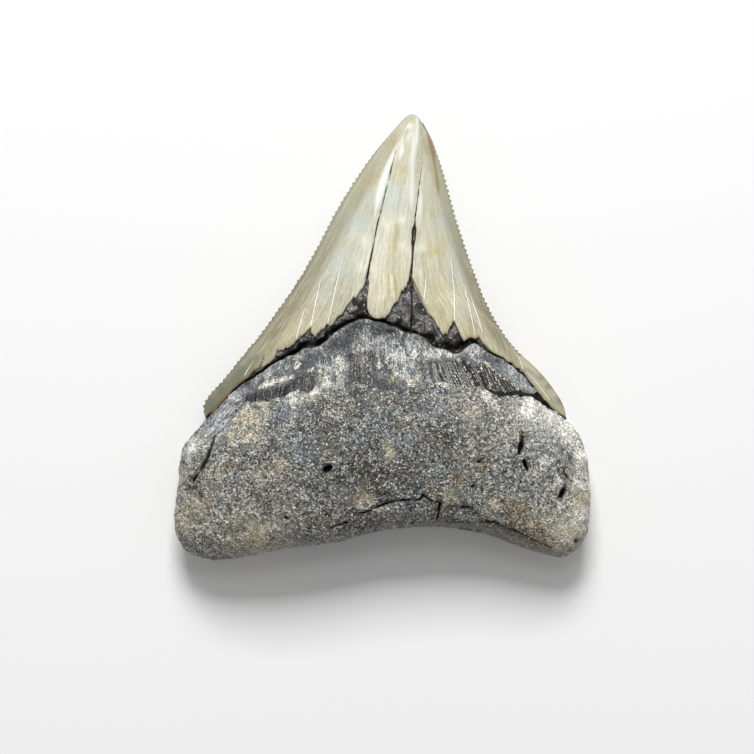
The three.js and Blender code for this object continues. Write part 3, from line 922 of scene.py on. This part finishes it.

# %% [markdown]
# ## Patches of colour
# The tooth lay in sediment, which stained it unevenly: buff and rust on the root, cool and warm
# zones in the enamel, and dull grey at both ends of the blade. A noise texture alone would put them
# anywhere. So each patch is placed as a soft spot, and its round shape is broken up by
# pushing the points about at random.

# %% Place the patches
SPOTS = {
    "buff": [
        (-29.5, -18.0, 2.2), (-29.4, -21.5, 1.8), (-33.0, -21.5, 1.4), (-26.5, -15.5, 1.8),
        (-31.5, -18.5, 1.5), (-23.8, -29.3, 1.8), (-4.8, -35.4, 1.5), (1.9, -25.6, 1.6),
        (30.0, -38.5, 1.8), (24.0, -38.0, 1.6), (19.5, -16.6, 1.2), (36.0, -43.5, 5.0),
        (42.0, -44.0, 4.0), (45.0, -38.0, 3.0), (-36.5, -31.0, 1.5), (-40.0, -38.5, 3.0),
        (-44.0, -41.0, 3.0), (-28.0, -45.0, 6.0), (5.5, -17.2, 0.8), (2.5, -9.4, 0.8), (7.8, -9.2, 0.8),
        (-45.4, -31.0, 1.6), (14.0, -34.5, 1.5), (-27.0, -31.0, 1.2),
    ],
    "pale": [
        (23.5, -13.4, 1.0), (32.5, -16.3, 2.3), (37.0, -18.2, 3.6), (41.0, -21.5, 3.4),
        (45.2, -26.0, 2.0), (45.5, -33.0, 2.5), (45.0, -40.0, 2.5), (41.0, -43.5, 3.0),
        (-28.4, -9.2, 0.8), (35.5, -29.5, 1.6), (38.7, -33.9, 0.9), (12.5, -3.8, 1.8), (3.5, -5.5, 1.4),
        (5.0, -8.0, 1.4), (0.0, -8.5, 1.0), (29.5, -7.6, 2.0), (33.0, -11.0, 1.8), (-12.3, -10.0, 1.3),
        (-9.3, -7.0, 1.2), (19.8, -4.2, 1.8), (10.0, -4.0, 1.8), (15.5, -4.8, 1.6), (7.0, -4.0, 1.4),
        (20.8, -5.4, 1.4), (-41.8, -26.0, 2.0), (-19.5, -12.9, 1.4), (-15.0, -12.0, 1.3),
        (-33.0, -13.8, 1.5), (-26.0, -7.6, 1.5),
    ],
    # Partly darker stone, partly painted shade: in the hollow mid-root, along the neck's foot, and a
    # painted shadow near the foot
    "dark": [
        (-3.0, -29.5, 3.5), (4.5, -30.5, 3.0), (13.0, -38.5, 2.5), (-13.5, -17.5, 2.4),
        (-13.0, -23.0, 2.8), (-12.5, -29.0, 2.2), (-13.0, -34.0, 2.4), (-6.0, -13.5, 2.4),
        (2.5, -12.8, 1.8), (7.0, -13.2, 1.6), (0.0, -34.5, 3.0), (-6.0, -37.5, 2.0),
        (-13.0, -38.5, 2.5), (-24.0, -20.5, 2.0), (-20.0, -22.5, 2.0), (-39.0, -29.0, 2.0),
        (-41.5, -33.5, 2.0), (-5.0, -42.0, 4.0), (14.0, -22.0, 3.0), (22.0, -27.0, 1.5),
        (29.0, -43.5, 2.0), (-33.0, -26.0, 1.6), (8.0, -27.0, 2.0), (40.5, -26.5, 2.6),
        (40.0, -31.0, 2.0), (24.2, -6.2, 1.2), (-7.0, 0.0, 3.0), (-1.5, 0.5, 2.6), (-11.5, -3.0, 2.2),
        (3.5, 0.2, 1.6), (-16.0, -5.0, 1.6), (-1.0, -12.0, 2.0), (-7.0, -29.0, 2.6), (-6.0, -36.5, 2.0),
        (-26.0, -24.5, 1.6), (0.5, -31.5, 2.6),
    ],
    "rust": [
        (29.5, -40.2, 2.8), (33.0, -43.0, 2.5), (41.8, -31.2, 0.9), (21.3, -28.0, 0.8),
        (10.0, -35.4, 1.4), (16.0, -31.0, 1.4), (-24.5, -34.6, 0.7), (-33.5, -29.0, 1.2),
        (-4.6, -33.4, 0.8), (-45.8, -27.0, 1.0), (-46.0, -33.0, 1.0), (30.6, -21.4, 0.8),
        (35.0, -45.6, 2.0),
    ],
    "cool": [
        (-9.0, 15.0, 4.4), (-6.5, 25.0, 3.6), (-12.5, 9.0, 4.0), (0.8, 32.0, 2.2), (2.0, 29.0, 2.0),
        (16.5, 12.0, 1.8), (15.6, 18.0, 1.8), (14.0, 26.0, 2.2), (-4.0, 30.0, 2.0), (18.5, 6.0, 1.6),
        (-22.0, -18.0, 3.0), (6.0, -24.5, 2.6), (35.0, -24.0, 3.0), (-18.0, -26.5, 2.4),
        (12.0, -16.5, 3.0), (-36.0, -24.5, 2.4), (28.0, -29.0, 2.4), (40.0, -29.0, 2.0),
    ],
    "warm": [
        (4.2, 36.0, 1.5), (3.4, 33.0, 1.2), (-4.0, 35.5, 2.4), (11.0, 42.0, 1.2), (11.8, 38.0, 1.4),
        (12.3, 34.0, 1.2), (1.0, 11.0, 3.6), (11.5, 3.0, 4.0), (12.5, 11.0, 3.0), (3.0, 19.0, 2.0),
        (2.0, 45.0, 3.0), (5.8, 48.0, 0.8), (19.0, 1.0, 2.0), (-21.0, 2.0, 3.0), (12.0, 19.0, 2.5),
        (14.0, 7.5, 2.2),
    ],
    "dull": [
        (-39.0, -15.6, 1.6), (-36.8, -12.2, 1.8), (-33.2, -8.6, 1.8), (-29.5, -5.0, 1.5),
        (34.2, -8.9, 1.0), (36.8, -11.9, 1.1), (39.2, -15.2, 1.0),
    ],
    # Painted highlights: pale patches on the enamel where the light catches it
    "painted_highlight": [
        (5.5, 19.0, 1.4), (-3.6, 16.0, 1.8), (8.2, 20.0, 1.2), (5.4, 44.5, 1.8), (-4.2, 20.5, 1.6),
        (0.4, 25.0, 1.6), (4.0, 26.0, 2.0), (7.9, 15.0, 1.0), (5.2, 46.5, 2.2), (9.3, 45.0, 1.3),
    ],
}


def warp(points):
    """Plane points pushed about at random, so that round patches become uneven ones."""
    shifts = [bumpy(points, (1.6, 4.0, seed), (0.9, 1.3, seed + 5)) for seed in (51, 52)]
    return points[..., :2] + np.stack(shifts, axis=-1)


inner_warped, outer_warped = warp(inner_points), warp(outer_points)
for name, places in SPOTS.items():
    marks[name] = on_mesh(spots(inner_warped, places), spots(outer_warped, places))
print("patches:", ", ".join(f"{len(places)} {name}" for name, places in SPOTS.items()))

# %% Write marks, growth coordinates and material zones into the mesh
for name, values in marks.items():
    mesh.attributes.new(name, "FLOAT", "POINT").data.foreach_set("value", values)

across = on_mesh(inner_column + 0 * inner_u, outer_column + 0 * outer_u)
upwards = on_mesh(*(plane[..., 1] / TOOTH_LENGTH + 0.5 for plane in (inner_xy, outer_xy)))
growth = np.stack([across, upwards], axis=-1)
corner_vertex = np.empty(len(mesh.loops), np.int32)
mesh.loops.foreach_get("vertex_index", corner_vertex)
mesh.uv_layers.new(name="growth").data.foreach_set("uv", growth[corner_vertex].ravel())

ROOT, DENTINE, ENAMEL = 0, 1, 2
face_row = np.arange(rows - 1)
row_zone = np.where(face_row < CREVICE_ROW, ROOT, np.where(face_row < ENAMEL_ROW - 1, DENTINE, ENAMEL))
inner_zone = np.repeat(row_zone, columns - 1)
outer_zone = np.repeat(np.where(face_row[1:-1] < ENAMEL_ROW, ROOT, ENAMEL), outer_columns - 1)
ends_zone = np.repeat([ROOT, ENAMEL], outer_columns - 1)
zones = np.concatenate([inner_zone, outer_zone, ends_zone]).astype(np.int32)
mesh.polygons.foreach_set("material_index", zones)
print("faces of root, dentine and enamel:", np.bincount(zones).tolist())

# %% [markdown]
# ## Small tools for materials
# A material is a tree of nodes. A few short helpers keep it readable: one adds a node and fills or
# links its sockets, one turns a distance into a mask, one lays coats of colour over each other. The
# scale of a noise on Object coordinates counts its repeats in a metre: 2000 gives specks of 0.5 mm.
# A socket knows its own tree (its id_data), so only helpers that have no socket are given the tree.

# %% Nodes and their sockets
def paint(red, green, blue):
    """A colour given as 0 to 255 on screen, as the linear numbers that shaders use."""
    screen = np.array([red, green, blue]) / 255
    linear = np.where(screen <= 0.04045, screen / 12.92, ((screen + 0.055) / 1.055) ** 2.4)
    return (*linear.tolist(), 1.0)


def start_material(name):
    """A new material and its node tree and shader."""
    material = bpy.data.materials.new(name)
    material.use_nodes = True
    return material, material.node_tree, material.node_tree.nodes["Principled BSDF"]


def put(socket, value):
    """Links a socket to another node's output, or sets its value."""
    if isinstance(value, bpy.types.NodeSocket):
        socket.id_data.links.new(value, socket)
    else:
        socket.default_value = value


def add(tree, kind, inputs, **settings):
    """A node of the given kind with its sockets filled by name or number."""
    node = tree.nodes.new("ShaderNode" + kind)
    for name, value in settings.items():
        setattr(node, name, value)
    for name, value in inputs.items():
        put(node.inputs[name], value)
    return node


def mark(tree, name):
    """An attribute stored on the mesh."""
    return add(tree, "Attribute", {}, attribute_name=name).outputs["Fac"]


print("white as a shader sees it:", paint(255, 255, 255))

# %% Masks and mixes
def mask(value, start, end):
    """0 where the value is at start, 1 where it is at end, smooth between."""
    inputs = {"Value": value, "From Min": start, "From Max": end}
    return add(value.id_data, "MapRange", inputs, interpolation_type="SMOOTHSTEP").outputs["Result"]


def spread(value, span, reach):
    """The first span of a value drawn out straight onto another one."""
    inputs = {"Value": value, "From Min": span[0], "From Max": span[1]}
    inputs |= {"To Min": reach[0], "To Max": reach[1]}
    return add(value.id_data, "MapRange", inputs).outputs["Result"]


def times(first, *others):
    """Product of numbers."""
    for other in others:
        first = add(first.id_data, "Math", {0: first, 1: other}, operation="MULTIPLY").outputs[0]
    return first


def patch(tree, name, share):
    """A stored mark, weakened to a share."""
    return times(mark(tree, name), share)


def absolute(value):
    """Size of a number without its sign."""
    return add(value.id_data, "Math", {0: value}, operation="ABSOLUTE").outputs[0]


def tint(share, first, second):
    """Two colours mixed by a share."""
    return add(share.id_data, "Mix", {0: share, 6: first, 7: second}, data_type="RGBA").outputs[2]


def calm(share, number, rest):
    """A number drawn towards a resting value by a share."""
    return add(share.id_data, "Mix", {0: share, 2: number, 3: rest}).outputs[0]


def layers(colour, coats):
    """A colour with coats laid over it, each a share and a colour, the last on top."""
    for share, coat in coats:
        colour = tint(share, colour, coat)
    return colour


def brighter(colour, factor):
    """A colour times a number."""
    return add(colour.id_data, "VectorMath", {0: colour, "Scale": factor}, operation="SCALE").outputs[0]


print("masks and mixes ready")

# %% Patterns
def noise(vector, scale, detail=2.0, rough=0.5, twist=0.0):
    """Cloudy noise, about 0 to 1, and wormy if twisted."""
    inputs = {"Vector": vector, "Scale": scale, "Detail": detail, "Roughness": rough, "Distortion": twist}
    return add(vector.id_data, "TexNoise", inputs).outputs["Fac"]


def stretched(tree, across, along_growth):
    """Growth coordinates with more repeats across than along."""
    uv = add(tree, "UVMap", {}, uv_map="growth").outputs["UV"]
    return add(tree, "Mapping", {"Vector": uv, "Scale": (across, along_growth, 1)}).outputs["Vector"]


def threads(value, half_width):
    """1 along the wandering lines where a noise passes through its middle value, 0 away from them."""
    off = add(value.id_data, "Math", {0: value, 1: 0.5}, operation="SUBTRACT").outputs[0]
    return mask(absolute(off), half_width, 0.3 * half_width)


def emboss(shader, height, strength, depth):
    """Bumps too fine for the mesh, as a tilt of the shading: their depth is in mm."""
    bump = add(shader.id_data, "Bump", {"Strength": strength, "Distance": depth * MM, "Height": height})
    put(shader.inputs["Normal"], bump.outputs["Normal"])


print("patterns ready")

# %% [markdown]
# ## Enamel
# Cream, paler in the middle and tan along the bevels, with fine streaks along the growth and a
# polished skin. Painted shade darkens the bevels, the rim and the cracks, and painted highlights run
# along the ridges and lie in patches. Streaks come from noise that is squeezed across the growth and
# drawn out along it.

# %% The enamel's material
def make_enamel():
    """Streaked cream, tan bevels and white veins, with painted highlights and painted shade, under a
    polish.
    """
    material, tree, shader = start_material("enamel")
    place = add(tree, "TexCoord", {}).outputs["Object"]
    broad = noise(stretched(tree, 30, 4), 1, 4, 0.6)
    fine = noise(stretched(tree, 240, 16), 1, 3, 0.6)
    dash = noise(stretched(tree, 280, 20), 1, 1)
    cloud = noise(place, 130, 4)
    mottle = noise(place, 1100, 3, 0.6)
    grit = noise(place, 3600, 1)
    height = add(tree, "SeparateXYZ", {0: place}).outputs["Y"]
    streaky = mask(height, -10 * MM, 2 * MM)
    lower_half = times(mask(height, 34 * MM, 8 * MM), streaky)
    vein_gap = absolute(mark(tree, "vein_side"))
    vein_there = mark(tree, "vein_there")
    beside_vein = times(mask(vein_gap, 0.45, 0.2), vein_there, mask(dash, 0.45, 0.6))
    # The bevel bands: the enamel's tan plus painted shade where the bevel turns away from the light
    bevel = times(mark(tree, "bevel"), mask(cloud, -0.1, 0.5))
    colour = layers(paint(192, 190, 164), [
        (mask(broad, 0.3, 0.7), paint(213, 212, 188)),
        (patch(tree, "cool", 0.85), paint(190, 202, 195)),
        (patch(tree, "warm", 0.8), paint(198, 182, 128)),
        (times(mask(height, 20 * MM, 2 * MM), 0.6), paint(164, 153, 112)),
        # Painted highlight patches
        (patch(tree, "painted_highlight", 0.8), paint(238, 234, 212)),
        (times(mask(cloud, 0.45, 0.75), 0.4), paint(180, 170, 132)),
        (times(mask(mottle, 0.35, 0.75), 0.3), paint(220, 219, 204)),
        (bevel, paint(140, 135, 106)),
        (patch(tree, "dull", 0.7), paint(108, 112, 110)),
        (times(mask(fine, 0.53, 0.7), streaky, 0.5), paint(144, 134, 103)),
        (times(mask(fine, 0.47, 0.3), streaky, 0.45), paint(236, 236, 224)),
        (times(mask(dash, 0.62, 0.7), lower_half, 0.5), paint(112, 103, 80)),
        (times(mask(dash, 0.38, 0.3), lower_half, 0.45), paint(244, 244, 236)),
        (times(mask(noise(place, 1500, 1), 0.7, 0.78), 0.35), paint(110, 98, 74)),
        (times(mask(mark(tree, "stain"), 0.45, -0.1), 0.75), paint(138, 103, 57)),
        (times(beside_vein, 0.6), paint(112, 104, 84)),
        # Painted highlight: near-white along the ridges
        (times(mask(mark(tree, "ridge"), 0.8, -0.3), mask(fine, 0.9, 0.4)), paint(246, 247, 244)),
        (times(mask(vein_gap, 0.16, 0.06), vein_there), paint(244, 244, 236)),
        (times(mask(mark(tree, "edge"), 0.4, 0.0), 0.5), paint(120, 104, 78)),
        # Painted shade: a darker line along the cutting edges and between the serrations
        (times(mask(mark(tree, "rim"), 0.5, 0.0), 0.4), paint(104, 96, 74)),
    ])
    colour = brighter(colour, spread(grit, (0.3, 0.7), (0.92, 1.08)))
    # Painted shade: near-black in the cracks
    colour = tint(mask(mark(tree, "gap"), 0.1, -0.05), colour, paint(34, 32, 30))
    put(shader.inputs["Base Color"], colour)
    put(shader.inputs["Roughness"], spread(fine, (0, 1), (0.28, 0.45)))
    emboss(shader, fine, 0.25, 0.1)
    shader.inputs["Coat Weight"].default_value = 0.35
    shader.inputs["Coat Roughness"].default_value = 0.2
    return material


enamel = make_enamel()
print("made", enamel.name)

# %% [markdown]
# ## Bared dentine
# Where the enamel is gone the tooth shows charcoal dentine that broke in small blocks. Each cell of
# a Voronoi texture is one block with its own grey, and painted shadow darkens the blocks under the
# enamel's edge.

# %% The dentine's material
def make_dentine():
    """Charcoal blocks with painted glints, and painted shade: black in the crevice, in cracks and under the
    enamel.
    """
    material, tree, shader = start_material("dentine")
    place = add(tree, "TexCoord", {}).outputs["Object"]
    fleck = noise(place, 2400, 3, 0.7)
    wobble = brighter(fleck, 0.5 * MM)
    bent = add(tree, "VectorMath", {0: place, 1: wobble}, operation="ADD").outputs[0]
    block = add(tree, "TexVoronoi", {"Vector": bent, "Scale": 620}).outputs["Color"]
    cloud = noise(place, 300, 2)
    colour = tint(mask(block, 0.25, 0.75), paint(48, 46, 44), paint(126, 125, 124))
    colour = brighter(colour, spread(fleck, (0.34, 0.68), (0.3, 1.8)))
    colour = brighter(colour, spread(noise(place, 4200, 1), (0.3, 0.7), (0.2, 1.95)))
    black = paint(16, 14, 12)
    colour = layers(colour, [
        (times(mask(cloud, 0.56, 0.4), 0.7), paint(30, 26, 23)),
        # Painted glints: pale specks of highlight
        (mask(noise(place, 1300, 1), 0.66, 0.74), paint(206, 200, 188)),
        # Painted shadow: dark under the enamel's edge
        (times(mask(mark(tree, "edge"), -0.7, 0.0), mask(block, 0.9, 0.5)), paint(26, 21, 17)),
        # Painted shade: black along the crevice
        (times(mask(mark(tree, "crevice"), 1.3, 0.7), mask(cloud, 0.72, 0.5)), black),
        # Painted shade: black in the cracks
        (mask(mark(tree, "gap"), 0.12, -0.06), black),
    ])
    put(shader.inputs["Base Color"], colour)
    emboss(shader, fleck, 1.0, 0.3)
    shader.inputs["Roughness"].default_value = 0.42
    shader.inputs["Specular IOR Level"].default_value = 0.3
    return material


dentine = make_dentine()
print("made", dentine.name)

# %% [markdown]
# ## Neck and root
# Mineral-grey bone. Its look is in the grain: white flecks, which are painted glints, and dark pores
# packed in a grey ground, over slow changes from slate to buff. The neck above is darker slate with
# cream crust and painted glints, and at its foot lies a black band cut by leaning slots.

# %% The root's ground
FIBRE_TURN = np.radians(42)


def root_ground(tree, place, fleck, grit):
    """Grey with the listed patches, made grainy by flecks, which are calmer where it is pale."""
    slow = noise(place, 110, 3)
    tone = noise(place, 330, 4, 0.6)
    clump = noise(place, 900, 2)
    glint = noise(place, 2300, 1.5)
    hue = noise(place, 700, 2)
    worms = threads(noise(place, 1000, 2), 0.1)
    fibre_frame = {"Vector": place, "Rotation": (0, 0, FIBRE_TURN), "Scale": (7, 1, 3)}
    turned = add(tree, "Mapping", fibre_frame, vector_type="TEXTURE").outputs["Vector"]
    fibres = noise(turned, 1500, 3, 0.6)
    slate, silver = paint(58, 63, 70), paint(186, 190, 192)
    pale = mark(tree, "pale")
    colour = layers(paint(100, 103, 103), [
        (mask(slow, 0.35, 0.65), paint(120, 118, 110)),
        (patch(tree, "flank", 0.5), paint(146, 145, 138)),
        (patch(tree, "cool", 0.6), paint(100, 112, 122)),
        # Dark patches: partly darker stone, partly painted shade
        (patch(tree, "dark", 0.85), paint(74, 71, 65)),
        (times(mask(tone, 0.52, 0.3), 0.6), paint(60, 61, 62)),
        (times(mask(tone, 0.56, 0.7), 0.5), paint(166, 168, 165)),
        (times(pale, mask(tone, -0.2, 0.5)), paint(220, 220, 212)),
        (times(mark(tree, "buff"), mask(tone, 0.2, 0.7)), paint(182, 171, 145)),
        (patch(tree, "rust", 0.7), paint(124, 102, 72)),
        (patch(tree, "under", 0.8), paint(108, 98, 86)),
        (times(mask(hue, 0.54, 0.72), 0.35), paint(150, 136, 106)),
        (times(mask(hue, 0.46, 0.28), 0.35), paint(98, 112, 122)),
        (patch(tree, "fibre", 0.8), tint(mask(fibres, 0.4, 0.58), slate, silver)),
    ])
    grain = times(
        spread(fleck, (0.34, 0.68), (0.2, 2.1)), spread(clump, (0.3, 0.7), (0.65, 1.3)),
        spread(worms, (0, 1), (0.77, 1.4)), spread(grit, (0.3, 0.7), (0.3, 1.7)))
    grain = calm(mask(noise(place, 190, 2), 0.5, 0.85), grain, 1.0)
    for name, share in (("pale", 0.35), ("buff", 0.4), ("under", 0.6), ("fibre", 0.7)):
        grain = calm(patch(tree, name, share), grain, 1.1)
    colour = brighter(colour, grain)
    return layers(colour, [
        # Painted glints: white specks of highlight on the grain
        (times(mask(glint, 0.58, 0.66), mask(clump, 0.35, 0.55), 0.9), paint(238, 237, 228)),
        (times(mask(glint, 0.36, 0.28), mask(pale, 0.8, 0.2), 0.7), paint(30, 29, 29)),
    ])


print(f"fibres lean by {np.degrees(FIBRE_TURN):.0f} degrees")

# %% The neck
def neck_slate(tree, place, grit):
    """Slate with upright pale crackle, cream crust and a black band of leaning slots."""
    fleck = noise(place, 2400, 2, 0.6)
    slow = noise(place, 140, 3)
    tone = noise(place, 330, 4, 0.6)
    glint = noise(place, 1800, 1.5)
    upright = add(tree, "Mapping", {"Vector": place, "Scale": (1, 0.4, 0.4)}).outputs["Vector"]
    crackle = threads(noise(upright, 750, 3, 0.6), 0.06)
    comb = mark(tree, "comb")
    slots_place = add(tree, "CombineXYZ", {"X": comb, "Y": times(tone, 1.6)}).outputs[0]
    tines = noise(slots_place, 1.8, 0)
    middle = mask(mark(tree, "flank"), 0.9, 0.2)
    colour = layers(paint(76, 78, 82), [
        (patch(tree, "flank", 0.6), paint(140, 147, 151)),
        (times(mask(tone, 0.38, 0.66), 0.8), paint(136, 138, 139)),
        (times(mask(slow, 0.5, 0.36), 0.5), paint(52, 53, 56)),
        (times(crackle, mask(slow, 0.42, 0.56), middle, 0.75), paint(204, 203, 196)),
        (times(threads(tines, 0.06), mask(slow, 0.48, 0.6), middle, 0.6), paint(206, 209, 206)),
        (times(mark(tree, "pale"), mask(tone, 0.3, 0.7)), paint(200, 203, 200)),
        (times(mark(tree, "pale"), crackle, 0.9), paint(226, 224, 216)),
        # Dark patches: partly darker stone, partly painted shade
        (patch(tree, "dark", 0.75), paint(66, 69, 74)),
        (times(mark(tree, "buff"), mask(fleck, 0.35, 0.6)), paint(192, 178, 144)),
        # Painted glints: white specks of highlight
        (times(mask(glint, 0.66, 0.74), 0.8), paint(220, 218, 208)),
    ])
    slotted = layers(paint(18, 17, 17), [
        (times(mask(tone, 0.45, 0.65), 0.3), paint(70, 72, 74)),
        (mask(tines, 0.53, 0.66), paint(62, 63, 64)),
        (times(mask(tines, 0.48, 0.58), mask(comb, -2, 8), mask(comb, 23, 12)), paint(128, 131, 131)),
        (times(threads(tines, 0.05), mask(fleck, 0.35, 0.6), mask(comb, -45, 0)), paint(214, 208, 192)),
    ])
    colour = tint(mark(tree, "band"), colour, slotted)
    crust = times(mask(mark(tree, "crust"), 0.35, -0.1), mask(fleck, 0.36, 0.54))
    colour = tint(crust, colour, paint(214, 207, 190))
    colour = brighter(colour, spread(fleck, (0.34, 0.68), (0.5, 1.6)))
    return brighter(colour, spread(grit, (0.3, 0.7), (0.5, 1.5)))


print("slots of the neck lean from level", COMB_LEVEL, "mm")

# %% The root's material
def make_root():
    """The grainy ground below, the slate neck above, and painted shade, black in holes, cracks and crevice.
    """
    material, tree, shader = start_material("root")
    place = add(tree, "TexCoord", {}).outputs["Object"]
    fleck = noise(place, 1700, 1.5, 0.5, 1.2)
    grit = noise(place, 4200, 1)
    black = paint(12, 11, 10)
    colour = layers(root_ground(tree, place, fleck, grit), [
        (mask(mark(tree, "neck"), -0.3, 0.2), neck_slate(tree, place, grit)),
        # Painted shade: black in the crevice
        (mask(mark(tree, "crevice"), 0.35, 0.1), black),
        # Painted shade: black inside the holes
        (mask(mark(tree, "hole"), 0.15, -0.15), black),
        # Painted shade: black in the cracks and in the lines along the neck's foot
        (mask(mark(tree, "gap"), 0.15, -0.05), black),
    ])
    put(shader.inputs["Base Color"], colour)
    emboss(shader, fleck, 1.0, 0.35)
    shader.inputs["Roughness"].default_value = 0.5
    shader.inputs["Specular IOR Level"].default_value = 0.25
    return material


root = make_root()
for finish in (root, dentine, enamel):
    mesh.materials.append(finish)
print("made", root.name)

# %% [markdown]
# ## Floor, light and camera
# The tooth lies down, so the camera looks straight down on it, square to the inner face. A long
# lens keeps the proportions flat. A pale floor and soft lamps do the rest: a broad one beyond the
# tip grazes the crown and adds real highlights to the painted ones along its ridges, and a small
# one adds sheen.

# %% Floor
FLOOR_HALF = 1.5
floor_mesh = bpy.data.meshes.new("floor")
corners = [(x * FLOOR_HALF, y * FLOOR_HALF, 0) for x, y in ((-1, -1), (1, -1), (1, 1), (-1, 1))]
floor_mesh.from_pydata(corners, [], [(0, 1, 2, 3)])
floor = bpy.data.objects.new("floor", floor_mesh)
bpy.context.collection.objects.link(floor)
paper, _, paper_shader = start_material("pale_floor")
paper_shader.inputs["Base Color"].default_value = (0.97, 0.97, 0.97, 1)
paper_shader.inputs["Roughness"].default_value = 0.9
floor_mesh.materials.append(paper)
print("floor", 2 * FLOOR_HALF, "m wide")

# %% Lights
def lamp(name, place, size, power):
    """A square soft lamp that points at the tooth."""
    data = bpy.data.lights.new(name, "AREA")
    data.size = size
    data.energy = power
    lit = bpy.data.objects.new(name, data)
    lit.location = place
    lit.rotation_euler = (-lit.location).to_track_quat("-Z", "Y").to_euler()
    bpy.context.collection.objects.link(lit)


lamp("key", (-0.05, 0.95, 0.9), 0.5, 16.0)
lamp("sheen", (0.08, 0.3, 0.8), 0.2, 0.45)
world = bpy.data.worlds.new("studio")
bpy.context.scene.world = world
world.use_nodes = True
sky = world.node_tree.nodes["Background"]
sky.inputs["Color"].default_value = (1, 1, 1, 1)
sky.inputs["Strength"].default_value = 0.3
bpy.context.scene.view_settings.view_transform = "Standard"
print("lamps:", [item.name for item in bpy.data.lights])

# %% Camera
VIEW_WIDTH = 169.3
VIEW_MIDDLE = (-1.3, -9.3)
CAMERA_HEIGHT = 0.75
OUTLINE_HEIGHT = 6.0
camera = bpy.data.objects.new("camera", bpy.data.cameras.new("camera"))
camera.location = (VIEW_MIDDLE[0] * MM, VIEW_MIDDLE[1] * MM, CAMERA_HEIGHT)
camera.data.sensor_width = 36
camera.data.lens = camera.data.sensor_width * (CAMERA_HEIGHT - OUTLINE_HEIGHT * MM) / (VIEW_WIDTH * MM)
bpy.context.collection.objects.link(camera)
bpy.context.scene.camera = camera
print(f"lens {camera.data.lens:.0f} mm")
